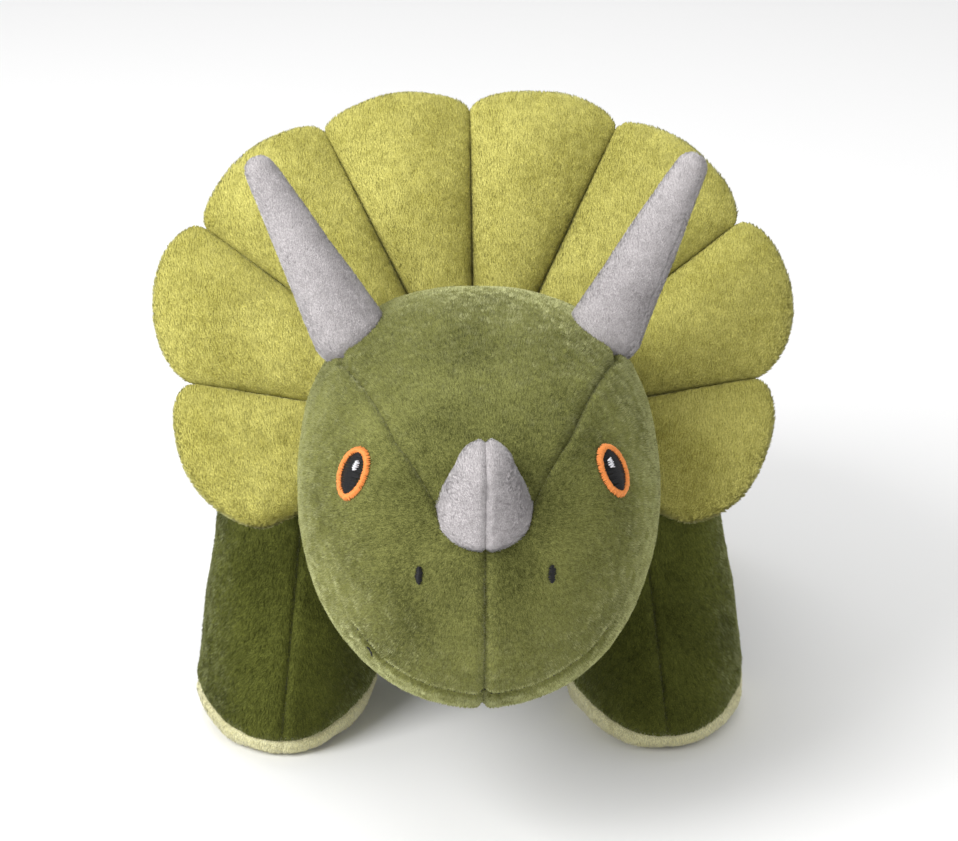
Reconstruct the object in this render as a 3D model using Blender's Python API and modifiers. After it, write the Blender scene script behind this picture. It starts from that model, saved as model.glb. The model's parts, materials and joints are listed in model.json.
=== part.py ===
"""A stuffed three-horned dinosaur: plush panels, stuffing and embroidery.

It stands on z = 0 with its nose towards -Y, so its own left side is +X. Sizes are in metres.
"""

import math

import bmesh
import bpy
from mathutils import Matrix, Vector
from mathutils.bvhtree import BVHTree

MM = 0.001

# Cloth, thread and the gap that neighbours keep.
FABRIC = 1.8 * MM
THREAD = 0.8 * MM
GAP = 0.3 * MM
FAR = 400 * MM

# Legs: each is a ball at the hip, a shaft and a flat foot.
LEG_RADIUS = 32 * MM
HIP_HEIGHT = 84 * MM
FOOT_FORWARD = 26 * MM
FOOT_SPLAY = 8 * MM
FOOT_WIDENING = 3 * MM
FOOT_ROUND = 9 * MM
SOLE_RISE_FRONT = 8 * MM
SOLE_RISE_BACK = 4 * MM
LEG_SWING = math.radians(15)
LEG_LEAN = math.radians(8)
FOOT_PROFILE = ((0.94, 2.5 * MM), (0.80, 0.0), (0.0, 0.0))  # share of the girth, height

# Torso: a loaf whose height is set by the hips.
TORSO_LENGTH = 212 * MM
TORSO_WIDTH = 190 * MM
TORSO_HEIGHT = 130 * MM
TORSO_BACK_SET = 34.5 * MM
HIP_TO_TORSO = 37 * MM
HIP_INSET = 28 * MM
FRONT_HIP_INSET = 22 * MM
REAR_HIP_INSET = 42 * MM
BELLY_DROP = 34 * MM
TORSO_BOXINESS = 0.82

# Neck: a short stuffed tube, round at both ends, between the torso and the head.
NECK_RADIUS = 40 * MM
NECK_OUT = 15 * MM
NECK_RISE = 3 * MM
NECK_BAND = 27 * MM

# Head: a drooping egg.
HEAD_LENGTH = 166 * MM
HEAD_WIDTH = 130 * MM
HEAD_HEIGHT = 126 * MM
HEAD_PITCH = math.radians(20)
HEAD_FORWARD = 69 * MM
HEAD_RISE = 3 * MM
HEAD_BOXINESS = 0.88
SNOUT_TAPER = 0.16
JAW_TAPER = 0.13
FOREHEAD_PAST_HORNS = 2 * MM
FOREHEAD_EYE_WIDTH = 60 * MM
FOREHEAD_NOSE_WIDTH = 26 * MM
CHIN_DROP = 40 * MM

# Frill: eight stuffed lobes in a fan that leans back.
FRILL_BACK_SET = 53 * MM
FRILL_RISE = 5.5 * MM
FRILL_LEAN = math.radians(30)
FRILL_SEAT_GAP = 1 * MM
FRILL_SLACK = 1.5 * MM
FRILL_EDGES = [math.radians(angle) for angle in (0, 25.5, 52, 80, 115)]
FRILL_SEAM_RADII = [125 * MM, 130 * MM, 128 * MM, 107 * MM, 84 * MM]
FRILL_LOBE_RADII = [136 * MM, 139 * MM, 133 * MM, 110 * MM]
FRILL_PUFF = 9.5 * MM
FRILL_SEAM_HALF = 2.6 * MM
LOBES_A_SIDE = len(FRILL_LOBE_RADII)

# Horns.
BROW_HORN_LENGTH = 74 * MM
BROW_HORN_RADIUS = 14 * MM
BROW_HORN_TIP = 5.5 * MM
BROW_HORN_OUT = 2 * MM
BROW_HORN_PLACE = Vector((0.61, 0.38, 0.70))
BROW_HORN_AIM = Vector((0.47, 0.16, 0.87))
BROW_HORN_OPEN_END = 10 * MM
NOSE_HORN_LENGTH = 28 * MM
NOSE_HORN_RADIUS = 17 * MM
NOSE_HORN_TIP = 8.5 * MM
NOSE_HORN_PLACE = Vector((0.0, -0.71, 0.70))
NOSE_HORN_AIM = Vector((0.0, -0.12, 0.99))
NOSE_HORN_SINK = 5 * MM

# Embroidery: places are directions from the head's centre: side, back, up.
EYE_PLACE = Vector((0.625, -0.425, 0.65))
EYE_HALF_WIDTH = 6.6 * MM
EYE_HALF_HEIGHT = 10.2 * MM
EYE_RING = 2.2 * MM
EYE_LEAN = math.radians(10)
GLINT_RADIUS = 1.5 * MM
GLINT_IN, GLINT_UP = 0.3, 0.35  # shares of the pupil's half width and half height
STITCH_DEPTH = 24 * MM
NOSTRIL_PLACE = Vector((0.32, -0.875, 0.36))
NOSTRIL_HALF_WIDTH = 1.7 * MM
NOSTRIL_HALF_HEIGHT = 3.8 * MM
MOUTH_WIDTH = 1.2 * MM
MOUTH_DEPTH = 30 * MM
MOUTH_DROP = 30 * MM
MOUTH_TILT = math.radians(42)

# Tail: a drooping cone on a ball.
TAIL_RADIUS = 36 * MM
TAIL_INSET = 30 * MM
TAIL_DROP = 5 * MM
TAIL_LENGTH = 143 * MM
TAIL_TIP = 9 * MM
TAIL_DROOP = math.radians(21)
TAIL_SAG = 8 * MM
TAIL_WAG = math.radians(20)

TORSO_CENTRE = Vector((0.0, TORSO_BACK_SET, HIP_HEIGHT + HIP_TO_TORSO))
HIP_X = TORSO_WIDTH / 2 - HIP_INSET
FRONT_HIP_Y = TORSO_CENTRE.y - TORSO_LENGTH / 2 + FRONT_HIP_INSET
REAR_HIP_Y = TORSO_CENTRE.y + TORSO_LENGTH / 2 - REAR_HIP_INSET
NECK_CENTRE = TORSO_CENTRE + Vector((0.0, -TORSO_LENGTH / 2 - NECK_OUT, NECK_RISE))
HEAD_CENTRE = NECK_CENTRE + Vector((0.0, -HEAD_FORWARD, HEAD_RISE))
HEAD_FRAME = Matrix.Translation(HEAD_CENTRE) @ Matrix.Rotation(HEAD_PITCH, 4, "X")
FRILL_CENTRE = HEAD_CENTRE + Vector((0.0, FRILL_BACK_SET, FRILL_RISE))
FRILL_FRAME = Matrix.Translation(FRILL_CENTRE) @ Matrix.Rotation(-FRILL_LEAN, 4, "X")
TAIL_ROOT = TORSO_CENTRE + Vector((0.0, TORSO_LENGTH / 2 - TAIL_INSET, -TAIL_DROP))

FABRICS = {
    "olive_plush": ((0.16, 0.17, 0.045), 0.95),
    "dark_olive_plush": ((0.07, 0.078, 0.015), 0.95),
    "lime_plush": ((0.50, 0.47, 0.12), 0.95),
    "cream_plush": ((0.58, 0.55, 0.28), 0.95),
    "grey_plush": ((0.50, 0.47, 0.46), 0.95),
    "polyester_stuffing": ((0.85, 0.85, 0.82), 0.9),
    "orange_thread": ((0.85, 0.25, 0.06), 0.5),
    "black_thread": ((0.01, 0.01, 0.01), 0.45),
    "white_thread": ((0.8, 0.8, 0.8), 0.45),
}


# Scene, materials and objects.
def clear_scene():
    for obj in list(bpy.data.objects):
        bpy.data.objects.remove(obj, do_unlink=True)
    for collection in list(bpy.data.collections):
        bpy.data.collections.remove(collection)


def new_collection(name):
    collection = bpy.data.collections.new(name)
    bpy.context.scene.collection.children.link(collection)
    return collection


def make_material(name):
    colour, roughness = FABRICS[name]
    material = bpy.data.materials.new(name)
    material.use_nodes = True
    shader = material.node_tree.nodes["Principled BSDF"]
    shader.inputs["Base Color"].default_value = (*colour, 1.0)
    shader.inputs["Roughness"].default_value = roughness
    shader.inputs["Metallic"].default_value = 0.0
    material.diffuse_color = (*colour, 1.0)
    return material


clear_scene()
PARTS = new_collection("stuffed_dinosaur")
CUTTERS = new_collection("cutters")
MATERIALS = {name: make_material(name) for name in FABRICS}
JOINTS = {}


def joint_empty(name, place, parent=None):
    """An empty on a joint's axis; what turns with the joint hangs from it."""
    empty = bpy.data.objects.new(name + "_pivot", None)
    PARTS.objects.link(empty)
    empty.parent = JOINTS[parent] if parent else None
    above = JOINTS[parent].matrix_world.translation if parent else Vector()
    empty.location = Vector(place) - above
    empty.matrix_world = Matrix.Translation(Vector(place))
    JOINTS[name] = empty
    return empty


def part(name, mesh, fabric, body):
    """A node: a mesh drawn in world space, hung from its body's pivot with its origin there."""
    pivot = JOINTS[body]
    place = Vector(pivot.matrix_world.translation)
    mesh.transform(Matrix.Translation(-place))
    mesh.materials.append(MATERIALS[fabric])
    obj = bpy.data.objects.new(name, mesh)
    PARTS.objects.link(obj)
    obj.parent = pivot
    return obj


def cutter(name, mesh):
    obj = bpy.data.objects.new(name, mesh)
    CUTTERS.objects.link(obj)
    obj.hide_render = True
    obj.display_type = "WIRE"
    return obj


def boolean(obj, operation, tool):
    modifier = obj.modifiers.new(operation.lower() + "_" + tool.name, "BOOLEAN")
    modifier.operation = operation
    modifier.solver = "EXACT"
    modifier.object = tool


def keep(obj, *tools):
    for tool in tools:
        boolean(obj, "INTERSECT", tool)


def cut(obj, *tools):
    for tool in tools:
        boolean(obj, "DIFFERENCE", tool)


def line_with_fabric(obj, even=True):
    """Turns a form into a skin of cloth, measured inwards."""
    skin = obj.modifiers.new("fabric", "SOLIDIFY")
    skin.thickness = FABRIC
    skin.offset = -1.0
    skin.use_even_offset = even


# Meshes.
def finish_mesh(name, bm):
    """A named mesh of a closed shape, with its faces turned outwards."""
    bm.normal_update()
    bmesh.ops.recalc_face_normals(bm, faces=bm.faces)
    if bm.calc_volume(signed=True) < 0:
        bmesh.ops.reverse_faces(bm, faces=bm.faces)
    mesh = bpy.data.meshes.new(name)
    bm.to_mesh(mesh)
    bm.free()
    mesh.shade_smooth()
    return mesh


def offset_mesh(mesh, distance):
    """A copy of a closed mesh, moved out by a distance that holds on sharp edges too."""
    bm = bmesh.new()
    bm.from_mesh(mesh)
    bm.normal_update()
    moves = [vert.normal * vert.calc_shell_factor() * distance for vert in bm.verts]
    for vert, move in zip(bm.verts, moves):
        vert.co += move
    return finish_mesh(mesh.name + "_offset", bm)


def closed_form(name, segments, rings, place):
    """A UV sphere whose point at (azimuth, ring from 0 at the top pole) goes to place()."""
    bm = bmesh.new()
    bmesh.ops.create_uvsphere(bm, u_segments=segments, v_segments=rings, radius=1.0)
    for vert in bm.verts:
        polar = math.acos(max(-1.0, min(1.0, vert.co.z)))
        azimuth = math.atan2(vert.co.y, vert.co.x)
        vert.co = place(azimuth, round(polar / math.pi * rings))
    bmesh.ops.triangulate(bm, faces=bm.faces, quad_method="FIXED")
    return finish_mesh(name, bm)


def block(name, low, high, frame=Matrix.Identity(4)):
    bm = bmesh.new()
    bmesh.ops.create_cube(bm, size=1.0)
    for vert in bm.verts:
        vert.co = [low[i] if vert.co[i] < 0 else high[i] for i in range(3)]
    bm.transform(frame)
    return cutter(name, finish_mesh(name, bm))


def prism(name, outline, low, high, frame):
    """A flat outline raised from low to high in its frame."""
    bm = bmesh.new()
    ring = [bm.verts.new((x, y, low)) for x, y in outline]
    base = bm.faces.new(ring)
    raised = bmesh.ops.extrude_face_region(bm, geom=[base])["geom"]
    top = [item for item in raised if isinstance(item, bmesh.types.BMVert)]
    bmesh.ops.translate(bm, verts=top, vec=(0.0, 0.0, high - low))
    bm.transform(frame)
    return cutter(name, finish_mesh(name, bm))


def ball_cutter(name, centre, radius, segments=20, rings=12):
    """A faceted ball whose flats still clear a true ball of this radius by the gap."""
    flats = math.cos(math.pi / segments) * math.cos(math.pi / (2 * rings))
    reach = (radius + GAP) / flats

    def place(azimuth, ring):
        polar = math.pi * ring / rings
        azimuth += math.pi / segments
        around = Vector((math.cos(azimuth), math.sin(azimuth), 0.0)) * math.sin(polar)
        return centre + reach * (around + Vector((0.0, 0.0, math.cos(polar))))

    return cutter(name, closed_form(name, segments, rings, place))


def bell_cutter(name, centre, axis, radius, spread, length, segments=16, cap_rings=5):
    """A ball that widens along the axis, to let a shaft swing by the spread."""
    frame = Matrix.Translation(centre) @ (-axis).to_track_quat("Z", "Y").to_matrix().to_4x4()
    reach = (radius + GAP) / math.cos(math.pi / segments) / math.cos(math.pi / (4 * cap_rings))
    rings = cap_rings + 2

    def place(azimuth, ring):
        if ring <= cap_rings:
            polar = (math.pi / 2 - spread) * ring / cap_rings
            out, up = reach * math.sin(polar), reach * math.cos(polar)
        else:
            rim_out, rim_up = reach * math.cos(spread), reach * math.sin(spread)
            out, up = rim_out + (length + rim_up) * math.tan(spread), -length
            if ring == rings:
                out = 0.0
        return frame @ Vector((out * math.cos(azimuth), out * math.sin(azimuth), up))

    return cutter(name, closed_form(name, segments, rings, place))


def bend_power(value, power):
    return math.copysign(abs(value) ** power, value)


def mix(low, high, share):
    return low + (high - low) * share


def ease(share):
    return share * share * (3 - 2 * share)


# Pivots.
joint_empty("torso", TORSO_CENTRE)
joint_empty("neck", NECK_CENTRE, "torso")
joint_empty("head", NECK_CENTRE, "neck")

# Torso.
TORSO_SEGMENTS, TORSO_RINGS = 18, 10


def torso_point(azimuth, ring):
    polar = math.pi * ring / TORSO_RINGS
    side = math.sin(polar) * math.cos(azimuth)
    up = math.sin(polar) * math.sin(azimuth)
    along = -math.cos(polar)
    return TORSO_CENTRE + Vector(
        (
            TORSO_WIDTH / 2 * bend_power(side, TORSO_BOXINESS),
            TORSO_LENGTH / 2 * bend_power(along, TORSO_BOXINESS),
            TORSO_HEIGHT / 2 * bend_power(up, TORSO_BOXINESS),
        )
    )


torso_form = closed_form("torso_form", TORSO_SEGMENTS, TORSO_RINGS, torso_point)
neck_socket = ball_cutter("neck_socket", NECK_CENTRE, NECK_RADIUS)
hips = {
    side_name + "_" + end: Vector((side * HIP_X, hip_y, HIP_HEIGHT))
    for side_name, side in (("left", 1), ("right", -1))
    for end, hip_y in (("front", FRONT_HIP_Y), ("rear", REAR_HIP_Y))
}
leg_axis = Vector((0.0, -math.sin(LEG_LEAN), -math.cos(LEG_LEAN)))
leg_sockets = [
    bell_cutter(
        name + "_leg_socket", hip, leg_axis, LEG_RADIUS, LEG_SWING + LEG_LEAN, HIP_HEIGHT
    )
    for name, hip in hips.items()
]
tail_axis = Vector((0.0, math.cos(TAIL_DROOP), -math.sin(TAIL_DROOP)))
tail_socket = bell_cutter(
    "tail_socket", TAIL_ROOT, tail_axis, TAIL_RADIUS, TAIL_WAG, TORSO_LENGTH / 2
)
torso_sockets = [neck_socket, tail_socket, *leg_sockets]
belly_z = TORSO_CENTRE.z - BELLY_DROP
below_belly = block("below_belly", (-FAR, -FAR, -FAR), (FAR, FAR, belly_z - GAP / 2))
above_belly = {
    side_name: block(
        side_name + "_above_belly",
        (min(side * GAP / 2, side * FAR), -FAR, belly_z + GAP / 2),
        (max(side * GAP / 2, side * FAR), FAR, FAR),
    )
    for side_name, side in (("left", 1), ("right", -1))
}
for side_name, region in above_belly.items():
    panel = part(f"torso_{side_name}_panel", torso_form.copy(), "dark_olive_plush", "torso")
    line_with_fabric(panel)
    keep(panel, region)
    cut(panel, *torso_sockets)
belly = part("belly_panel", torso_form.copy(), "dark_olive_plush", "torso")
line_with_fabric(belly)
keep(belly, below_belly)
cut(belly, *torso_sockets)
torso_core = offset_mesh(torso_form, -FABRIC - GAP)
cut(part("torso_stuffing", torso_core, "polyester_stuffing", "torso"), *torso_sockets)

# Neck.
NECK_SEGMENTS, NECK_RINGS = 14, 8


def neck_point(azimuth, ring):
    polar = math.pi * ring / NECK_RINGS
    around = Vector((math.cos(azimuth), 0.0, math.sin(azimuth))) * math.sin(polar)
    return NECK_CENTRE + NECK_RADIUS * (around + Vector((0.0, math.cos(polar), 0.0)))


neck_form = closed_form("neck_form", NECK_SEGMENTS, NECK_RINGS, neck_point)
neck_slab = block(
    "neck_slab",
    (-FAR, NECK_CENTRE.y - NECK_BAND, -FAR),
    (FAR, NECK_CENTRE.y + NECK_BAND, FAR),
)
neck_cover = part("neck_cover", neck_form.copy(), "dark_olive_plush", "neck")
line_with_fabric(neck_cover)
keep(neck_cover, neck_slab)
part("neck_stuffing", offset_mesh(neck_form, -FABRIC - GAP), "polyester_stuffing", "neck")

# Head.
HEAD_SEGMENTS, HEAD_RINGS = 22, 12
SMALL_STEP = 0.02


def head_point(direction):
    """The point of the head's skin that a direction (side, back, up) stands for."""
    side, back, up = direction.normalized()
    width = 1 - SNOUT_TAPER * max(0.0, -back) ** 1.5 + JAW_TAPER * up
    local = Vector(
        (
            HEAD_WIDTH / 2 * bend_power(side, HEAD_BOXINESS) * width,
            HEAD_LENGTH / 2 * bend_power(back, HEAD_BOXINESS),
            HEAD_HEIGHT / 2 * bend_power(up, HEAD_BOXINESS),
        )
    )
    return HEAD_FRAME @ local


def head_normal(direction):
    """The outward normal of the head's skin there, from two short steps across it."""
    direction = direction.normalized()
    across = direction.orthogonal().normalized() * SMALL_STEP
    along = direction.cross(across).normalized() * SMALL_STEP
    step_a = head_point(direction + across) - head_point(direction - across)
    step_b = head_point(direction + along) - head_point(direction - along)
    normal = step_a.cross(step_b).normalized()
    outward = head_point(direction) - HEAD_CENTRE
    return normal if normal.dot(outward) > 0 else -normal


def head_ring_point(azimuth, ring):
    polar = math.pi * ring / HEAD_RINGS
    azimuth += math.pi / HEAD_SEGMENTS
    around = math.sin(polar)
    return head_point(
        Vector((around * math.cos(azimuth), -math.cos(polar), around * math.sin(azimuth)))
    )


def mirrored(vector, side):
    return Vector((vector.x * side, vector.y, vector.z))


head_form = closed_form("head_form", HEAD_SEGMENTS, HEAD_RINGS, head_ring_point)
head_seat = cutter("head_seat", offset_mesh(head_form, GAP))
thread_top = cutter("thread_top", offset_mesh(head_form, GAP + THREAD))

horn_roots = {
    side_name: head_point(mirrored(BROW_HORN_PLACE, side))
    + head_normal(mirrored(BROW_HORN_PLACE, side)) * BROW_HORN_OUT
    for side_name, side in (("left", 1), ("right", -1))
}
horn_sockets = [
    ball_cutter(name + "_horn_socket", root, BROW_HORN_RADIUS, 14, 8)
    for name, root in horn_roots.items()
]
head_sockets = [neck_socket, *horn_sockets]

nose_seat = NOSE_HORN_PLACE.normalized().y * HEAD_LENGTH / 2
eye_seat = EYE_PLACE.normalized().y * HEAD_LENGTH / 2
brow_seat = BROW_HORN_PLACE.normalized().y * HEAD_LENGTH / 2 - BROW_HORN_RADIUS
forehead_width = 2 * (horn_roots["left"].x + FOREHEAD_PAST_HORNS)


def forehead_outline(inset):
    """Half widths: narrow at the nose, wide between the horns."""
    front = nose_seat - NOSE_HORN_RADIUS / 2
    widths = (FOREHEAD_NOSE_WIDTH, FOREHEAD_EYE_WIDTH, forehead_width, forehead_width)
    places = (front + inset, eye_seat, brow_seat, FAR)
    left = [(width / 2 - inset, place) for width, place in zip(widths, places)]
    return left + [(-x, y) for x, y in reversed(left)]


forehead_region = prism("forehead_region", forehead_outline(GAP / 2), 0, FAR, HEAD_FRAME)
forehead_hole = prism("forehead_hole", forehead_outline(-GAP / 2), -GAP, FAR, HEAD_FRAME)
chin_region = block(
    "chin_region", (-FAR, -FAR, -FAR), (FAR, FAR, -CHIN_DROP - GAP / 2), HEAD_FRAME
)
forehead = part("forehead_panel", head_form.copy(), "olive_plush", "head")
line_with_fabric(forehead)
keep(forehead, forehead_region)
cut(forehead, *head_sockets)
for side_name, side in (("left", 1), ("right", -1)):
    cheek_region = block(
        side_name + "_cheek_region",
        (min(side * GAP / 2, side * FAR), -FAR, -CHIN_DROP + GAP / 2),
        (max(side * GAP / 2, side * FAR), FAR, FAR),
        HEAD_FRAME,
    )
    cheek = part(side_name + "_cheek_panel", head_form.copy(), "olive_plush", "head")
    line_with_fabric(cheek)
    keep(cheek, cheek_region)
    cut(cheek, forehead_hole, *head_sockets)
chin = part("chin_panel", head_form.copy(), "olive_plush", "head")
line_with_fabric(chin)
keep(chin, chin_region)
cut(chin, *head_sockets)
head_core = offset_mesh(head_form, -FABRIC - GAP)
cut(part("head_stuffing", head_core, "polyester_stuffing", "head"), *head_sockets)


# Embroidery on the head.
def oval(name, direction, half_width, half_height, lean, shift=(0.0, 0.0), segments=14):
    """An upright oval rod through the head's skin; lean turns its top towards the middle."""
    normal = head_normal(direction)
    up = Vector((0.0, 0.0, 1.0))
    up = (up - normal * up.dot(normal)).normalized()
    right = up.cross(normal)
    turn = Matrix.Rotation(lean, 3, normal)
    right, up = turn @ right, turn @ up
    centre = head_point(direction) + right * shift[0] + up * shift[1]
    bm = bmesh.new()
    bmesh.ops.create_cone(
        bm, cap_ends=True, segments=segments, radius1=1.0, radius2=1.0, depth=STITCH_DEPTH
    )
    for vert in bm.verts:
        x, y, z = vert.co
        vert.co = centre + right * (x * half_width) + up * (y * half_height) + normal * z
    return finish_mesh(name, bm)


def embroider(name, mesh, thread, *holes):
    patch = part(name, mesh, thread, "head")
    keep(patch, thread_top)
    cut(patch, head_seat, *holes)


for side_name, side in (("left", 1), ("right", -1)):
    eye = mirrored(EYE_PLACE, side)
    lean = side * EYE_LEAN
    iris_width, iris_height = EYE_HALF_WIDTH - EYE_RING, EYE_HALF_HEIGHT - EYE_RING
    glint_shift = (-side * iris_width * GLINT_IN, iris_height * GLINT_UP)
    ring = oval(side_name + "_ring", eye, EYE_HALF_WIDTH, EYE_HALF_HEIGHT, lean)
    iris = oval(side_name + "_iris", eye, iris_width - GAP, iris_height - GAP, lean)
    iris_hole = cutter(
        side_name + "_iris_hole", oval(side_name + "_iris_hole", eye, iris_width, iris_height, lean)
    )
    glint = oval(
        side_name + "_glint", eye, GLINT_RADIUS, GLINT_RADIUS, lean, glint_shift, 8
    )
    glint_hole = cutter(
        side_name + "_glint_hole",
        oval(
            side_name + "_glint_hole",
            eye,
            GLINT_RADIUS + GAP,
            GLINT_RADIUS + GAP,
            lean,
            glint_shift,
            8,
        ),
    )
    nostril = oval(
        side_name + "_nostril_rod",
        mirrored(NOSTRIL_PLACE, side),
        NOSTRIL_HALF_WIDTH,
        NOSTRIL_HALF_HEIGHT,
        0.0,
        segments=10,
    )
    embroider(side_name + "_eye_ring", ring, "orange_thread", iris_hole)
    embroider(side_name + "_eye_pupil", iris, "black_thread", glint_hole)
    embroider(side_name + "_eye_glint", glint, "white_thread")
    embroider(side_name + "_nostril", nostril, "black_thread")

mouth_frame = (
    HEAD_FRAME
    @ Matrix.Translation((0.0, -HEAD_LENGTH / 2, -MOUTH_DROP))
    @ Matrix.Rotation(MOUTH_TILT, 4, "X")
)
mouth_slab = block(
    "mouth_slab",
    (-FAR, -FAR, -MOUTH_WIDTH / 2),
    (FAR, MOUTH_DEPTH, MOUTH_WIDTH / 2),
    mouth_frame,
)
mouth = part("mouth_stitch", offset_mesh(head_form, GAP + THREAD), "black_thread", "head")
keep(mouth, mouth_slab)
cut(mouth, head_seat)

# Nose horn.
NOSE_HORN_RINGS = 9


def horn_point(frame, length, radius, tip, rings, ball_rings):
    """A cone with a round tip, on a ball whose centre is the frame's origin."""
    tip_rings = 3
    cone_rings = rings - ball_rings - tip_rings

    def place(azimuth, ring):
        if ring <= tip_rings:
            turn = math.pi / 2 * ring / tip_rings
            out, up = tip * math.sin(turn), length - tip + tip * math.cos(turn)
        elif ring <= tip_rings + cone_rings:
            share = (ring - tip_rings) / cone_rings
            out, up = mix(tip, radius, share), (length - tip) * (1 - share)
        else:
            turn = math.pi / 2 * (ring - tip_rings - cone_rings) / ball_rings
            out, up = radius * math.cos(turn), -radius * math.sin(turn)
        return frame @ Vector((out * math.cos(azimuth), out * math.sin(azimuth), up))

    return place


def aimed(place, direction):
    """A frame whose Z follows the direction and whose X stays level."""
    z_axis = direction.normalized()
    x_axis = Vector((0.0, -1.0, 0.0)).cross(z_axis).normalized()
    y_axis = z_axis.cross(x_axis)
    frame = Matrix((x_axis, y_axis, z_axis)).transposed().to_4x4()
    return Matrix.Translation(place) @ frame


nose_root = head_point(NOSE_HORN_PLACE) - head_normal(NOSE_HORN_PLACE) * NOSE_HORN_SINK
nose_form = closed_form(
    "nose_horn_form",
    12,
    NOSE_HORN_RINGS,
    horn_point(
        aimed(nose_root, HEAD_FRAME.to_3x3() @ NOSE_HORN_AIM),
        NOSE_HORN_LENGTH + NOSE_HORN_SINK,
        NOSE_HORN_RADIUS,
        NOSE_HORN_TIP,
        NOSE_HORN_RINGS,
        3,
    ),
)
for side_name, side in (("left", 1), ("right", -1)):
    half = block(
        side_name + "_half",
        (min(side * GAP / 2, side * FAR), -FAR, -FAR),
        (max(side * GAP / 2, side * FAR), FAR, FAR),
    )
    panel = part(f"nose_horn_{side_name}_panel", nose_form.copy(), "grey_plush", "head")
    line_with_fabric(panel)
    keep(panel, half)
    cut(panel, head_seat)
nose_core = offset_mesh(nose_form, -FABRIC - GAP)
cut(part("nose_horn_stuffing", nose_core, "polyester_stuffing", "head"), head_seat)

# Brow horns: each bends where its ball sits in the head.
HORN_RINGS, HORN_BALL_RINGS, HORN_SEGMENTS = 9, 3, 12
for side_name, side in (("left", 1), ("right", -1)):
    body = side_name + "_brow_horn"
    root = horn_roots[side_name]
    joint_empty(body, root, "head")
    frame = aimed(root, mirrored(BROW_HORN_AIM, side))
    form = closed_form(
        body + "_form",
        HORN_SEGMENTS,
        HORN_RINGS,
        horn_point(
            frame,
            BROW_HORN_LENGTH,
            BROW_HORN_RADIUS,
            BROW_HORN_TIP,
            HORN_RINGS,
            HORN_BALL_RINGS,
        ),
    )
    open_end = block(
        body + "_open_end",
        (-FAR, -FAR, -BROW_HORN_OPEN_END),
        (FAR, FAR, FAR),
        frame,
    )
    cover = part(body + "_cover", form.copy(), "grey_plush", body)
    line_with_fabric(cover)
    keep(cover, open_end)
    part(body + "_stuffing", offset_mesh(form, -FABRIC - GAP), "polyester_stuffing", body)


# Frill: angle 0 is up, and the left lobes have positive angles.
def frill_lobe(angle):
    """The lobe that an angle is in, counted from the top, and the share of the way across it."""
    turn = min(abs(angle), FRILL_EDGES[-1])
    for lobe in range(LOBES_A_SIDE):
        if turn <= FRILL_EDGES[lobe + 1]:
            break
    start, end = FRILL_EDGES[lobe], FRILL_EDGES[lobe + 1]
    return lobe, (turn - start) / (end - start)


def frill_rim(angle):
    """The outline's radius: a round lobe between each two seams."""
    lobe, share = frill_lobe(angle)
    seam = mix(FRILL_SEAM_RADII[lobe], FRILL_SEAM_RADII[lobe + 1], share)
    middle = mix(FRILL_SEAM_RADII[lobe], FRILL_SEAM_RADII[lobe + 1], 0.5)
    arch = (4 * share * (1 - share)) ** 0.5
    return seam + (FRILL_LOBE_RADII[lobe] - middle) * arch


def frill_half(angle, reach):
    """Half the thickness: thin at seams and rim, full in the middle of a lobe."""
    _, share = frill_lobe(angle)
    across = max(0.0, 4 * share * (1 - share)) ** 0.5
    outwards = max(0.0, 1 - reach**4) ** 0.5
    return FRILL_SEAM_HALF + FRILL_PUFF * across * outwards


head_tree = BVHTree.FromPolygons(
    [vert.co.copy() for vert in head_seat.data.vertices],
    [tuple(face.vertices) for face in head_seat.data.polygons],
)


def clear_radius(angle, height):
    """The radius at which a ray across the fan leaves the head and the neck's ball."""
    start = FRILL_FRAME @ Vector((0.0, height, 0.0))
    outward = FRILL_FRAME.to_3x3() @ Vector((math.sin(angle), 0.0, math.cos(angle)))
    hit = head_tree.ray_cast(start + outward * FAR, -outward)
    from_head = FAR - hit[3] if hit[0] else 0.0
    along = (NECK_CENTRE - start).dot(outward)
    aside = (NECK_CENTRE - start - outward * along).length
    reach = NECK_RADIUS + GAP
    from_neck = along + math.sqrt(reach**2 - aside**2) if aside < reach else 0.0
    return max(from_head, from_neck) + FRILL_SEAT_GAP


def frill_seat(angle):
    """The fan's inner radius, clear of the head through the whole thickness."""
    thick = FRILL_SEAM_HALF + FRILL_PUFF
    return max(clear_radius(angle, height) for height in (-thick, 0.0, thick))


def frill_place(angle, reach, height):
    """A point of the fan; reach goes from the seat on the head to the rim."""
    radius = mix(frill_seat(angle), frill_rim(angle), reach)
    return FRILL_FRAME @ Vector(
        (radius * math.sin(angle), height, radius * math.cos(angle))
    )


def frill_angle(lobe, share):
    """Angle across a signed lobe: 1 to 4 on the left, -1 to -4 on the right."""
    start, end = FRILL_EDGES[abs(lobe) - 1], FRILL_EDGES[abs(lobe)]
    return math.copysign(mix(start, end, share), lobe)


LOBE_STEPS, REACH_STEPS = 4, 5
LOBE_FILL = 0.66
REACH_CROWDING = 1.4  # rows of points lie closer together near the rim
STEPS_ROUND = LOBE_STEPS * LOBES_A_SIDE * 2


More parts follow.
